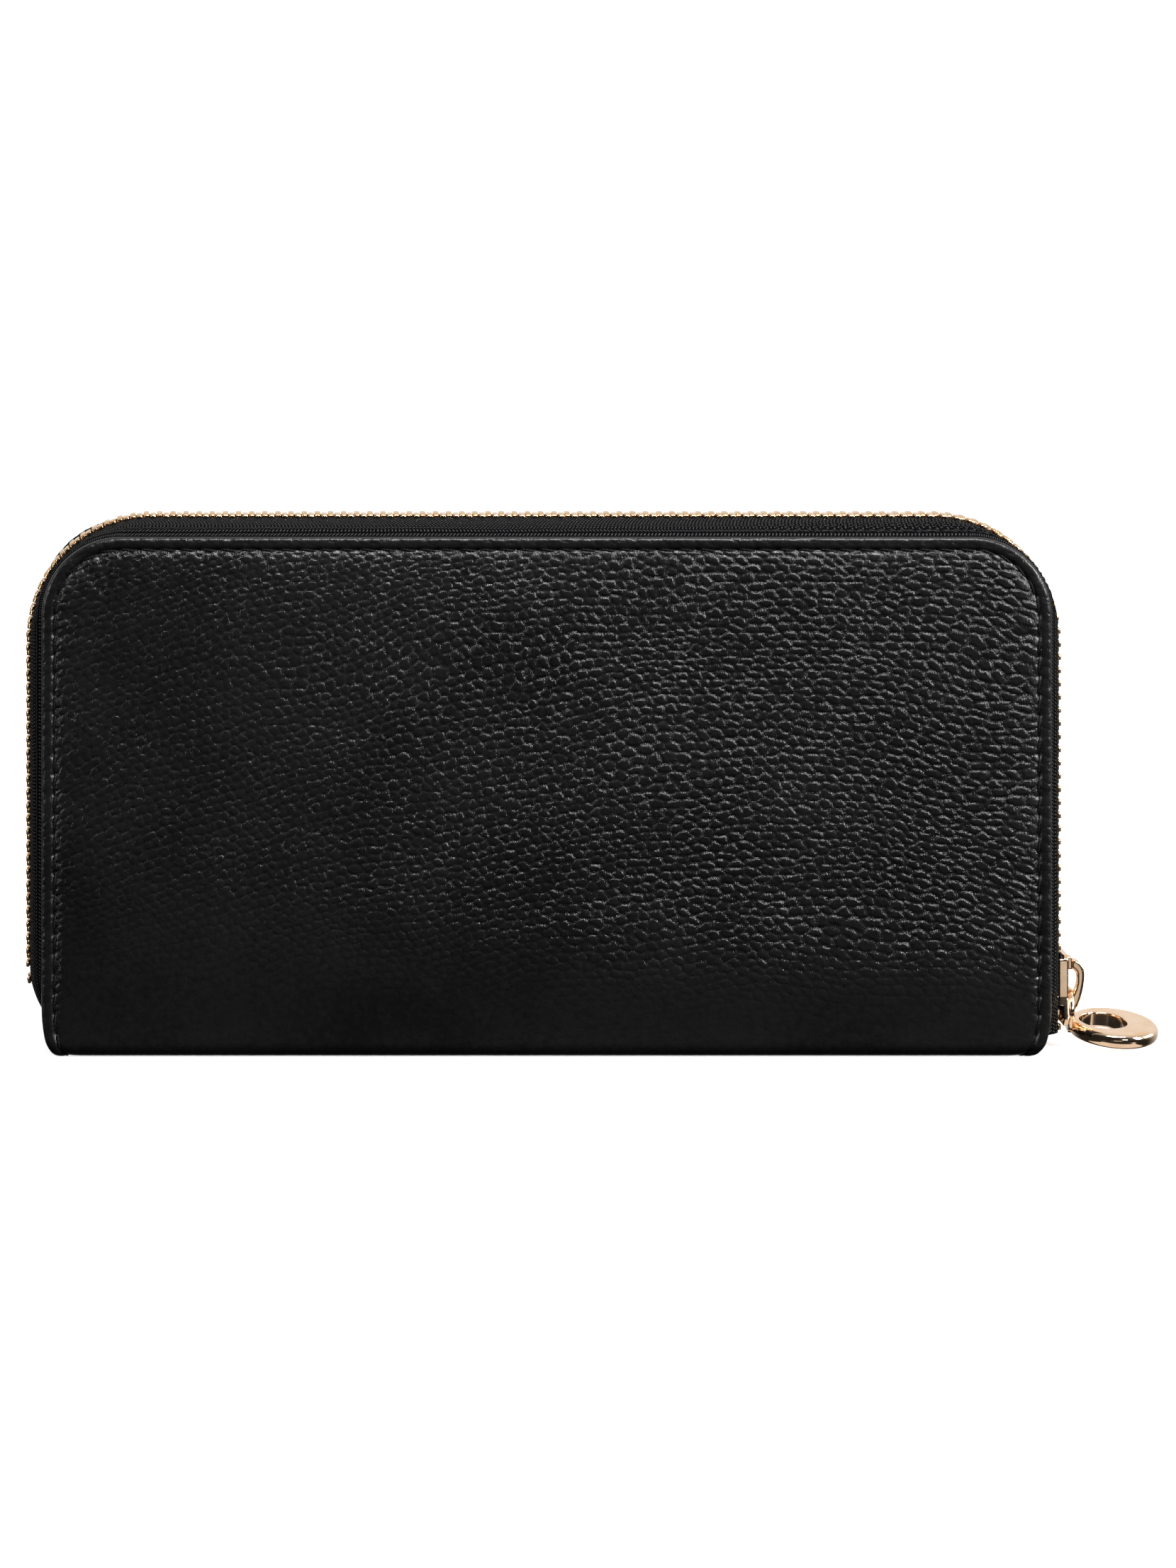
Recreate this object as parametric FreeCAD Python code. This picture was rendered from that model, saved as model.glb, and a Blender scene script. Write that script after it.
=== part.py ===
import FreeCAD, Part
import math
import os

from FreeCAD import Placement, Rotation, Vector

# A zip around wallet, closed and standing on its spine.
# +X runs along the spine, -Y is the front cover's side, +Z is up, and the origin is the middle of the foot.
# All sizes are in millimetres.

# ---- covers ----
COVER_W = 190.0
COVER_H = 98.0
DEPTH = 24.0
TOP_R = 15.0
FOOT_TUCK = 3.2
FOOT_RISE = 10.0
LEATHER_T = 1.3
BEND_R = 3.0
HINGE_GAP = 0.2
STITCH_INSET = 2.5
STITCH_PITCH = 4.0
STITCH_LONG = 3.2
THREAD_R = 0.25
GROOVE_HALF = 0.4
LINING_T = 0.5
LINING_INSET = 1.0
LINING_FOOT = 4.6
LINING_FOOT_R = 10.9
BOARD_T = 0.6
BOARD_INSET = 6.8
BOARD_FOOT = 13.0
PLAY = 0.05

# ---- card pockets on the inside of each cover ----
CARD_ROWS = 4
CARD_ROW_STEP = 9.0
CARD_TOP = 87.0
CARD_TALL = 52.0
CARD_COLUMN = 86.0
CARD_SEAM = 1.5
CARD_SKIN = 0.45
CARD_ROOM = 0.25

# ---- main zip ----
CHAIN_HALF_W = 97.1
CHAIN_TOP = 100.2
CHAIN_R = 23.0
TAPE_T = 0.6
TAPE_FOOT = 3.25
TAPE_SEWN = 6.0
CURL_START = 15.5
CURL_R = 14.0
CURL_ANGLE = 50.0
TOOTH_PITCH = 2.5
TOOTH_THICK = 1.1
FIRST_TOOTH_Z = 19.0

# ---- main slider, at rest at the right foot ----
SLIDER_Z = 11.05
SLIDER_LONG = 13.5
BRIDGE_W = 2.2

# ---- puller, one casting: an eye on the slider's bridge and a disc with an eccentric hole ----
EYE_X = 0.6
EYE_N = 2.87
EYE_WIRE_R = 0.6
EYE_R = 3.55
DISC_R = 8.5
DISC_T = 3.0
DISC_HOLE_R = 4.5
DISC_HOLE_SHIFT = 2.0
DISC_DROOP = 3.7
DISC_LEAN = 7.0
DISC_MID_Z = 3.05

# ---- coin pocket between the covers ----
COIN_HALF_W = 84.0
COIN_FOOT = 4.0
COIN_TOP = 72.0
COIN_TOP_R = 5.0
COIN_OUTER_Y = 4.5
COIN_WALL_T = 0.7
COIN_TAPE_T = 0.35
COIN_TAPE_SEWN = 14.0
COIN_LINING_T = 0.25
COIN_CHAIN_Z = 74.0
COIN_PITCH = 2.0
COIN_TOOTH_THICK = 0.85
COIN_CHAIN_HALF = 78.0
COIN_SLIDER_X = 76.0
COIN_SLIDER_LONG = 9.0
COIN_PULL_LONG = 16.0

# ---- gussets ----
GUSSET_T = 0.4
GUSSET_DEEP_TOP = 30.0
GUSSET_DEEP_FOOT = 8.0

# ---- layers, as distances from the middle plane ----
FACE_Y = DEPTH / 2
LEATHER_IN = FACE_Y - LEATHER_T
BOARD_OUT = LEATHER_IN - PLAY
LINING_OUT = BOARD_OUT - BOARD_T - PLAY
LINING_IN = LINING_OUT - LINING_T
TAPE_MID_Y = LEATHER_IN - PLAY - TAPE_T / 2
CARD_FRONT_Y = LINING_IN - CARD_ROWS * (CARD_SKIN + CARD_ROOM)
HALF_W = COVER_W / 2
COVER_FOOT = BEND_R + HINGE_GAP
UP = Vector(0, 0, 1)


# ------------------------------------------------------------------ shape helpers


def box(x0, x1, y0, y1, z0, z1):
    return Part.makeBox(x1 - x0, y1 - y0, z1 - z0, Vector(x0, y0, z0))


def slab(wire, y0, y1):
    """A flat wire in the XZ plane, made solid from y0 to y1."""
    face = Part.Face(wire)
    face.translate(Vector(0, y0, 0))
    return face.extrude(Vector(0, y1 - y0, 0))


def xz(x, z):
    return Vector(x, 0, z)


def polygon(points):
    return Part.makePolygon(points + points[:1])


def arc(centre, radius, a0, a1):
    """An arc in the XZ plane; angles in degrees from +X towards +Z."""
    def at(angle):
        a = math.radians(angle)
        return centre + xz(radius * math.cos(a), radius * math.sin(a))

    return Part.Arc(at(a0), at((a0 + a1) / 2), at(a1)).toShape()


def quarter_ellipse(start, corner, end):
    """A quarter ellipse from start to end, tangent to the lines through corner, as one cubic."""
    k = 4 * (math.sqrt(2) - 1) / 3
    curve = Part.BezierCurve()
    curve.setPoles([start, start + (corner - start) * k, end + (corner - end) * k, end])
    return curve.toShape()


def line(a, b):
    return Part.makeLine(a, b)


def cover_outline(inset):
    """A cover seen from the front: round top corners, and side edges that tuck in at the foot."""
    a, top, r = HALF_W - inset, COVER_H - inset, TOP_R - inset
    foot = a - FOOT_TUCK
    return Part.Wire([
        quarter_ellipse(xz(foot, 0), xz(a, 0), xz(a, FOOT_RISE)),
        line(xz(a, FOOT_RISE), xz(a, top - r)),
        arc(xz(a - r, top - r), r, 0, 90),
        line(xz(a - r, top), xz(r - a, top)),
        arc(xz(r - a, top - r), r, 90, 180),
        line(xz(-a, top - r), xz(-a, FOOT_RISE)),
        quarter_ellipse(xz(-a, FOOT_RISE), xz(-a, 0), xz(-foot, 0)),
        line(xz(-foot, 0), xz(foot, 0)),
    ])


def arched_outline(half_w, foot, top, r):
    """A straight-sided plan with round top corners and a square foot."""
    return Part.Wire([
        line(xz(half_w, foot), xz(half_w, top - r)),
        arc(xz(half_w - r, top - r), r, 0, 90),
        line(xz(half_w - r, top), xz(r - half_w, top)),
        arc(xz(r - half_w, top - r), r, 90, 180),
        line(xz(-half_w, top - r), xz(-half_w, foot)),
        line(xz(-half_w, foot), xz(half_w, foot)),
    ])


def seam_outline(shift):
    """The line of the edge stitching, moved inwards by shift."""
    inset = STITCH_INSET + shift
    return arched_outline(HALF_W - inset, 0, COVER_H - inset, TOP_R - inset)


def above(shape, z):
    return shape.common(box(-200, 200, -50, 50, z, 200))


def mirrored(shape):
    """The same piece on the back cover's side."""
    return shape.mirror(Vector(0, 0, 0), Vector(0, 1, 0))


def both_ends(shape):
    """A piece and its copy at the wallet's other end."""
    return Part.makeCompound([shape, shape.mirror(Vector(0, 0, 0), Vector(1, 0, 0))])


# ------------------------------------------------------------------ paths round the wallet


class Run:
    """A straight or round stretch of a path in the XZ plane.

    turn is the angle of the path's outward normal, in degrees from +Z towards +X.
    """

    def __init__(self, start, turn0, length=0.0, radius=0.0, turn1=None):
        self.start, self.turn0, self.radius = start, turn0, radius
        self.turn1 = turn0 if turn1 is None else turn1
        swept = math.radians(abs(self.turn1 - turn0))
        self.length = radius * swept if radius else length

    def at(self, share):
        """(point, turn) at a share of the stretch."""
        turn = self.turn0 + (self.turn1 - self.turn0) * share
        if self.radius:
            centre = self.start - normal(self.turn0) * self.radius
            return centre + normal(turn) * self.radius, turn
        along = Vector(-math.cos(math.radians(turn)), 0, math.sin(math.radians(turn)))
        return self.start + along * (self.length * share), turn


def normal(turn):
    a = math.radians(turn)
    return Vector(math.sin(a), 0, math.cos(a))


def arch(half_w, top, radius, foot_right, foot_left, curl_r, curl_angle):
    """A path up the right side, over the top, down the left side, and curling inwards at the left foot."""
    side = top - radius
    runs = [Run(xz(half_w, foot_right), 90, side - foot_right)]
    runs.append(Run(xz(half_w, side), 90, radius=radius, turn1=0))
    runs.append(Run(xz(half_w - radius, top), 0, 2 * (half_w - radius)))
    runs.append(Run(xz(radius - half_w, top), 0, radius=radius, turn1=-90))
    runs.append(Run(xz(-half_w, side), -90, side - foot_left))
    runs.append(Run(xz(-half_w, foot_left), -90, radius=curl_r, turn1=-90 - curl_angle))
    return runs


def spaced(runs, first, last, pitch):
    """(point, turn) at even steps along a path, between two distances from its start."""
    total = sum(run.length for run in runs)
    found, s = [], first
    while s <= min(last, total):
        rest = s
        for run in runs:
            if rest <= run.length:
                break
            rest -= run.length
        found.append(run.at(rest / run.length))
        s += pitch
    return found


def placed(shape, point, turn):
    """A copy of a shape whose own +Z is the path's outward normal and whose own -X runs along the path."""
    copy = shape.copy()
    copy.Placement = Placement(point, Rotation(Vector(0, 1, 0), turn))
    return copy


CHAIN = arch(CHAIN_HALF_W, CHAIN_TOP, CHAIN_R, TAPE_FOOT, CURL_START, CURL_R, CURL_ANGLE)
EDGE = arch(HALF_W, COVER_H, TOP_R, TAPE_FOOT, CURL_START, CURL_R + HALF_W - CHAIN_HALF_W, CURL_ANGLE)
SEAM = arch(HALF_W - STITCH_INSET, COVER_H - STITCH_INSET, TOP_R - STITCH_INSET,
            COVER_FOOT, FOOT_RISE, CURL_R, 1)


# ------------------------------------------------------------------ covers and spine


def cover_leather():
    """The outer leather of one cover, with a groove for its edge stitching."""
    skin = slab(cover_outline(0), -FACE_Y, -LEATHER_IN)
    floor = -FACE_Y + 2 * THREAD_R
    groove = slab(seam_outline(-GROOVE_HALF), -FACE_Y - 1, floor)
    groove = groove.cut(slab(seam_outline(GROOVE_HALF), -FACE_Y - 1, floor))
    return above(skin.cut(groove), COVER_FOOT)


def cover_board():
    return above(slab(cover_outline(BOARD_INSET), -BOARD_OUT, -BOARD_OUT + BOARD_T), BOARD_FOOT)


def cover_lining():
    """The lining leaves the foot corners free, where the zip's tape turns in."""
    half_w, top = HALF_W - LINING_INSET, COVER_H - LINING_INSET
    plate = box(-half_w, half_w, -LINING_OUT, -LINING_IN, LINING_FOOT, top)
    corners = [e for e in plate.Edges if abs(e.Length - LINING_T) < 1e-6]
    low = [e for e in corners if e.CenterOfMass.z < top / 2]
    plate = plate.makeFillet(LINING_FOOT_R, low)
    high = [e for e in plate.Edges if abs(e.Length - LINING_T) < 1e-6 and abs(e.CenterOfMass.z - top) < 1e-6]
    return plate.makeFillet(TOP_R - LINING_INSET, high)


def cover_stitching():
    """Saddle stitches round the cover's edge, one short thread each."""
    thread = Part.makeCylinder(THREAD_R, STITCH_LONG, Vector(-STITCH_LONG / 2, 0, 0), Vector(1, 0, 0))
    last = sum(run.length for run in SEAM) - STITCH_PITCH
    y = THREAD_R - FACE_Y
    return Part.makeCompound([
        placed(thread, point + Vector(0, y, 0), turn)
        for point, turn in spaced(SEAM, STITCH_PITCH / 2, last, STITCH_PITCH)
    ])


def spine_leather():
    """The foot of the wallet: the leather between the two covers, bent up at both edges."""
    def bend(y, r, z):
        side = 1 if y > 0 else -1
        mid = math.sqrt(0.5) * r
        return Part.Arc(Vector(0, y, z + r), Vector(0, y - side * (r - mid), z + r - mid),
                        Vector(0, y - side * r, z)).toShape()

    inner_r = BEND_R - LEATHER_T
    profile = Part.Wire([
        bend(-FACE_Y, BEND_R, 0),
        line(Vector(0, BEND_R - FACE_Y, 0), Vector(0, FACE_Y - BEND_R, 0)),
        bend(FACE_Y, BEND_R, 0),
        line(Vector(0, FACE_Y, BEND_R), Vector(0, LEATHER_IN, BEND_R)),
        bend(LEATHER_IN, inner_r, LEATHER_T),
        line(Vector(0, LEATHER_IN - inner_r, LEATHER_T), Vector(0, inner_r - LEATHER_IN, LEATHER_T)),
        bend(-LEATHER_IN, inner_r, LEATHER_T),
        line(Vector(0, -LEATHER_IN, BEND_R), Vector(0, -FACE_Y, BEND_R)),
    ])
    profile = Part.Wire(Part.__sortEdges__(profile.Edges))
    trough = Part.Face(profile).extrude(Vector(COVER_W, 0, 0))
    trough.translate(Vector(-HALF_W, 0, 0))
    return trough.common(slab(cover_outline(0), -FACE_Y - 1, FACE_Y + 1))


def spine_lining():
    half_w, half_y = HALF_W - FOOT_TUCK - LINING_INSET, LEATHER_IN - BEND_R
    low = LEATHER_T + PLAY
    return box(-half_w, half_w, -half_y, half_y, low, low + LINING_T)


def card_pocket(row):
    """One strip of two card pockets; row 0 is the strip nearest the lining.

    The strip stands off the layer behind it on its seams, which leaves room for a card.
    """
    top = CARD_TOP - row * CARD_ROW_STEP
    foot = top - CARD_TALL
    half_w = CARD_COLUMN + 1.5 * CARD_SEAM
    back = -LINING_IN + row * (CARD_SKIN + CARD_ROOM)
    skin_y = back + CARD_ROOM
    strip = box(-half_w, half_w, skin_y, skin_y + CARD_SKIN, foot, top)
    seams = [
        box(-half_w, CARD_SEAM - half_w, back, skin_y, foot, top),
        box(-CARD_SEAM / 2, CARD_SEAM / 2, back, skin_y, foot, top),
        box(half_w - CARD_SEAM, half_w, back, skin_y, foot, top),
        box(-half_w, half_w, back, skin_y, foot, foot + CARD_SEAM),
    ]
    return strip.fuse(seams).removeSplitter()


# ------------------------------------------------------------------ main zip


def tape_section(chain, edge):
    """The tape's closed cross-section where the chain and the cover's edge are (point, turn).

    It runs from the teeth, flat through the slider, over the cover's edge and in behind the leather.
    """
    (p, p_turn), (q, q_turn) = chain, edge
    up, out = normal(p_turn), normal(q_turn)
    half = TAPE_T / 2
    over = (out * 0.8 + Vector(0, -0.6, 0)) * half
    middle = [
        (p + Vector(0, -1.3, 0), up * half),
        (p + Vector(0, -5.4, 0), up * half),
        (q + out * 0.9 + Vector(0, 0.5 - TAPE_MID_Y, 0), over),
        (q - out * 0.2 + Vector(0, -TAPE_MID_Y, 0), Vector(0, -half, 0)),
        (q - out * TAPE_SEWN + Vector(0, -TAPE_MID_Y, 0), Vector(0, -half, 0)),
    ]
    return polygon([m + d for m, d in middle] + [m - d for m, d in reversed(middle)])


def zip_tape():
    """One woven tape, lofted from the right foot over the top to its tucked end at the left foot."""
    round_steps, sections = 16, []
    for number, (c_run, e_run) in enumerate(zip(CHAIN, EDGE)):
        steps = round_steps if c_run.radius else 1
        for step in range(1 if number else 0, steps + 1):
            sections.append(tape_section(c_run.at(step / steps), e_run.at(step / steps)))
    return Part.makeLoft(sections, True, True)


def tooth(reach, legs, height, slot, thick):
    """A zip tooth: a head that crosses the middle by reach, and two legs clamped over the tape."""
    h, s = height / 2, slot / 2
    cham = 0.3 * height / 2
    points = [
        (-legs, s), (-legs * 0.42, s), (-legs * 0.42, -s), (-legs, -s), (-legs, cham - h),
        (cham - legs, -h), (reach - 2 * cham, -h), (reach, cham * 1.4 - h), (reach, h - cham * 1.4),
        (reach - 2 * cham, h), (cham - legs, h), (-legs, h - cham),
    ]
    profile = polygon([Vector(-thick / 2, u, n) for u, n in points])
    return Part.Face(profile).extrude(Vector(thick, 0, 0))


def main_tooth(thick=TOOTH_THICK, reach=0.9):
    return tooth(reach, 2.9, 2.1, TAPE_T + 2 * PLAY, thick)


def zip_teeth(shift):
    """One row of teeth on the front tape; shift moves the row along by a share of the pitch."""
    first = FIRST_TOOTH_Z - TAPE_FOOT + shift * TOOTH_PITCH
    last = sum(run.length for run in CHAIN[:5])
    places = spaced(CHAIN, first, last, TOOTH_PITCH)
    return Part.makeCompound([placed(main_tooth(), point, turn) for point, turn in places])


def zip_stops():
    """The metal stops crimped on one tape past each end of its teeth."""
    stop = main_tooth(1.2, -0.9)
    curl = CHAIN[5]
    ends = [(xz(CHAIN_HALF_W, TAPE_FOOT + 0.7), 90), curl.at(2.6 / curl.length)]
    return Part.makeCompound([placed(stop, point, turn) for point, turn in ends])


def slider_body(long, narrow, wide, channel, plate, slot, flange, post):
    """A zip slider: two plates joined by a wedge, with flanges that hold the two rows of teeth.

    Its own +X is the end where the tapes part, and its own +Z faces out of the wallet.
    """
    x0, x1 = -long / 2, long / 2
    waist = 0.1 * long

    def plan(inset):
        n, w = narrow - inset, wide - inset
        points = [(x0, -n + 0.8), (x0 + 0.8, -n), (waist, -n), (x1 - 1.6, -w), (x1, -w + 1.6)]
        points += [(x, -y) for x, y in reversed(points)]
        return polygon([Vector(x, y, 0) for x, y in points])

    def layer(wire, z0, z1):
        face = Part.Face(wire)
        face.translate(Vector(0, 0, z0))
        return face.extrude(Vector(0, 0, z1 - z0))

    top = channel + plate
    shell = layer(plan(0), -top, top)
    hollow = box(x0 - 1, x1 + 1, -wide - 1, wide + 1, -channel, channel)
    walls = layer(plan(0), -channel, channel).cut(layer(plan(flange), -channel, channel))
    walls = walls.common(box(x0 + 0.8, x1 - 0.3 * long, -wide, wide, -channel, channel))
    walls = walls.cut(box(x0 - 1, x1 + 1, -wide - 1, wide + 1, -slot, slot))
    tip = 0.12 * long
    wedge = polygon([Vector(tip, 0, 0), Vector(0.3 * long, post, 0), Vector(x1 - 0.4, post * 0.5, 0),
                     Vector(x1 - 0.4, -post * 0.5, 0), Vector(0.3 * long, -post, 0)])
    return shell.cut(hollow).fuse([walls, layer(wedge, -channel, channel)]).removeSplitter()


def main_slider_body():
    body = slider_body(SLIDER_LONG, 3.95, 5.2, 1.2, 1.0, 0.45, 0.8, 1.15)
    top_plate = 2.2
    lug = box(-5.9, -3.5, -1.4, 1.4, top_plate - 0.5, 3.3)
    return at_main_slider(body.fuse(lug).removeSplitter())


def at_main_slider(shape):
    return placed(shape, xz(CHAIN_HALF_W, SLIDER_Z), 90)


def slider_bridge():
    """The D shaped loop on the main slider's face that carries the puller's eye."""
    outer = [(-3.5, 3.3), (-5.4, 3.32), (-5.05, 4.6), (-3.25, 5.7), (-1.75, 5.75), (1.25, 5.25),
             (3.6, 4.45), (5.2, 3.1), (6.2, 2.2)]
    inner = [(3.3, 2.2), (2.05, 2.95), (0.15, 3.95), (-1.75, 4.35), (-2.95, 4.05)]
    ends = [Vector(x, 0, z) for x, z in (outer[-1], inner[0])]
    rise = Part.BSplineCurve()
    rise.interpolate([Vector(x, 0, z) for x, z in outer[1:]])
    fall = Part.BSplineCurve()
    fall.interpolate([Vector(x, 0, z) for x, z in inner + outer[:1]])
    root = line(Vector(outer[0][0], 0, outer[0][1]), Vector(outer[1][0], 0, outer[1][1]))
    wire = Part.Wire(Part.__sortEdges__([rise.toShape(), line(*ends), fall.toShape(), root]))
    return at_main_slider(slab(wire, -BRIDGE_W / 2, BRIDGE_W / 2))


def puller():
    """The eye on the bridge and the disc cast onto its side."""
    pivot = xz(CHAIN_HALF_W + EYE_N, SLIDER_Z - EYE_X)
    eye_mid = pivot - UP * EYE_R
    eye = Part.makeTorus(EYE_R, EYE_WIRE_R, eye_mid, Vector(1, 0, 0))
    disc = Part.makeCylinder(DISC_R, DISC_T, Vector(0, 0, -DISC_T / 2))
    disc = round_rims(disc, DISC_R, DISC_T * 0.44)
    disc = disc.cut(Part.makeCylinder(DISC_HOLE_R, 2 * DISC_T, Vector(-DISC_HOLE_SHIFT, 0, -DISC_T)))
    disc = round_rims(disc, DISC_HOLE_R, 0.4)
    neck = box(-DISC_R - 0.3, 0.8 - DISC_R, -1.5, 1.5, -0.9, 1.1)
    disc = disc.fuse(neck)
    disc.rotate(Vector(0, 0, 0), Vector(0, 1, 0), DISC_DROOP)
    disc.translate(xz(pivot.x + DISC_R, DISC_MID_Z))
    disc.rotate(eye_mid, Vector(1, 0, 0), DISC_LEAN)
    return eye.fuse(disc).removeSplitter()


def round_rims(shape, rim_r, fillet_r):
    """Fillets the circular edges of one radius."""
    rims = [e for e in shape.Edges if isinstance(e.Curve, Part.Circle) and abs(e.Curve.Radius - rim_r) < 1e-6]
    return shape.makeFillet(fillet_r, rims)


# ------------------------------------------------------------------ coin pocket


def coin_wall():
    outline = arched_outline(COIN_HALF_W, COIN_FOOT, COIN_TOP, COIN_TOP_R)
    return slab(outline, -COIN_OUTER_Y, COIN_WALL_T - COIN_OUTER_Y)


def coin_lining():
    """The pouch of thin cloth inside the coin pocket, open at the top."""
    out_y = COIN_OUTER_Y - COIN_WALL_T - COIN_TAPE_T - 2 * PLAY
    t, half_w = COIN_LINING_T, COIN_HALF_W - 2
    top = COIN_TOP - 1
    pouch = box(-half_w, half_w, -out_y, out_y, COIN_FOOT, top)
    return pouch.cut(box(t - half_w, half_w - t, t - out_y, out_y - t, COIN_FOOT + t, top + 1))


def coin_tape():
    """The coin zip's front tape: sewn up the inside of the wall, then flat to the teeth."""
    out_y = COIN_OUTER_Y - COIN_WALL_T - PLAY
    in_y, half = out_y - COIN_TAPE_T, COIN_TAPE_T / 2
    top, low = COIN_CHAIN_Z + half, COIN_CHAIN_Z - half
    foot, edge_y, end = COIN_TOP - COIN_TAPE_SEWN, 1.0, COIN_HALF_W - 2
    points = [(-out_y, foot), (-out_y, top), (-edge_y, top), (-edge_y, low), (-in_y, low), (-in_y, foot)]
    profile = polygon([Vector(-end, y, z) for y, z in points])
    return Part.Face(profile).extrude(Vector(2 * end, 0, 0))


def coin_tooth(thick=COIN_TOOTH_THICK, reach=0.7):
    return tooth(reach, 2.2, 1.5, COIN_TAPE_T + PLAY, thick)


def coin_teeth(shift):
    row, x = [], -COIN_CHAIN_HALF + shift * COIN_PITCH
    while x < COIN_SLIDER_X - COIN_SLIDER_LONG / 2 - COIN_PITCH / 2:
        row.append(placed(coin_tooth(), xz(x, COIN_CHAIN_Z), 0))
        x += COIN_PITCH
    return Part.makeCompound(row)


def coin_stops():
    """A closed bottom stop at the left end, and a top stop on each tape past the slider."""
    half_w, half_h = 2.2, 0.8
    x = -COIN_CHAIN_HALF - 2.2
    bottom = box(x, x + 1.6, -half_w, half_w, COIN_CHAIN_Z - half_h, COIN_CHAIN_Z + half_h)
    slot = box(x - 1, x + 3, -half_w - 1, -0.9, COIN_CHAIN_Z - 0.2, COIN_CHAIN_Z + 0.2)
    bottom = bottom.cut(slot).cut(mirrored(slot))
    top = placed(coin_tooth(1.2, -0.8), xz(COIN_SLIDER_X + COIN_SLIDER_LONG / 2 + 0.7, COIN_CHAIN_Z), 0)
    return Part.makeCompound([bottom, top, mirrored(top)])


def coin_slider_body():
    body = slider_body(COIN_SLIDER_LONG, 2.9, 3.2, 0.9, 0.7, 0.35, 0.6, 0.8)
    return placed(body, xz(COIN_SLIDER_X, COIN_CHAIN_Z), 0)


def coin_slider_bridge():
    """A low arch on the coin slider, with room under it for the pull tab's eye."""
    face = COIN_CHAIN_Z + 1.6
    ring = slab(Part.Wire([arc(xz(0, face), 2.9, 0, 180), line(xz(-2.9, face), xz(2.9, face))]), -0.7, 0.7)
    gap = slab(Part.Wire([arc(xz(0, face), 2.0, 0, 180), line(xz(-2.0, face), xz(2.0, face))]), -1, 1)
    arch_bar = ring.cut(gap)
    arch_bar.translate(Vector(COIN_SLIDER_X, 0, 0))
    return arch_bar


def coin_pull_pivot():
    return xz(COIN_SLIDER_X - 0.6, COIN_CHAIN_Z + 1.6 + 0.85)


def coin_pull_tab():
    """A flat tab whose square eye loops through the coin slider's bridge, lying along the zip."""
    w, t, eye, bar = 2.3, 1.1, 5.0, 1.1
    tab = box(-COIN_PULL_LONG, bar / 2, -w, w, -t / 2, t / 2)
    tab = tab.makeFillet(1.4, [e for e in tab.Edges if abs(e.Length - t) < 1e-6])
    tab = tab.cut(box(-eye, -bar / 2, -1.2, 1.2, -t, t))
    tab.translate(coin_pull_pivot())
    return tab


# ------------------------------------------------------------------ gussets


def gusset_leaf(y, outer_x, foot, top):
    """One leaf of a folded side gusset, deeper at the top, where the wallet opens widest."""
    wire = polygon([xz(outer_x, foot), xz(outer_x, top), xz(outer_x - GUSSET_DEEP_TOP, top),
                    xz(outer_x - GUSSET_DEEP_FOOT, foot)])
    return slab(wire, y, y + GUSSET_T)


def gusset_leaf_on_cover():
    return both_ends(gusset_leaf(-CARD_FRONT_Y + PLAY, HALF_W - 7, 6, COIN_TOP - COIN_TOP_R))


def gusset_leaf_on_pocket():
    y = -COIN_OUTER_Y - PLAY - GUSSET_T
    return both_ends(gusset_leaf(y, COIN_HALF_W, 6, COIN_TOP - COIN_TOP_R))


# ------------------------------------------------------------------ the wallet


def on_both_sides(nodes, name, shape):
    nodes["front_" + name] = shape
    nodes["back_" + name] = mirrored(shape)


def wallet():
    nodes = {"spine_leather": spine_leather(), "spine_lining": spine_lining()}
    on_both_sides(nodes, "cover_leather", cover_leather())
    on_both_sides(nodes, "stiffener_board", cover_board())
    on_both_sides(nodes, "lining", cover_lining())
    on_both_sides(nodes, "edge_stitching", cover_stitching())
    for row in range(CARD_ROWS):
        on_both_sides(nodes, f"card_pocket_{row + 1}", card_pocket(row))
    on_both_sides(nodes, "zip_tape", zip_tape())
    nodes["front_zip_teeth"] = zip_teeth(0)
    nodes["back_zip_teeth"] = mirrored(zip_teeth(0.5))
    on_both_sides(nodes, "zip_stops", zip_stops())
    nodes["slider_body"] = main_slider_body()
    nodes["slider_bridge"] = slider_bridge()
    nodes["puller"] = puller()
    on_both_sides(nodes, "gusset_outer_leaves", gusset_leaf_on_cover())
    on_both_sides(nodes, "gusset_inner_leaves", gusset_leaf_on_pocket())
    nodes["coin_pocket_front_wall"] = coin_wall()
    nodes["coin_pocket_back_wall"] = mirrored(coin_wall())
    nodes["coin_pocket_lining"] = coin_lining()
    nodes["coin_zip_front_tape"] = coin_tape()
    nodes["coin_zip_back_tape"] = mirrored(coin_tape())
    nodes["coin_zip_front_teeth"] = coin_teeth(0)
    nodes["coin_zip_back_teeth"] = mirrored(coin_teeth(0.5))
    nodes["coin_zip_stops"] = coin_stops()
    nodes["coin_slider_body"] = coin_slider_body()
    nodes["coin_slider_bridge"] = coin_slider_bridge()
    nodes["coin_pull_tab"] = coin_pull_tab()
    return nodes


os.makedirs("parts", exist_ok=True)
for name, shape in wallet().items():
    shape.exportStep(os.path.join("parts", name + ".step"))
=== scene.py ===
import math

import bpy
import numpy as np
from mathutils import Matrix, Vector, noise


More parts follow.
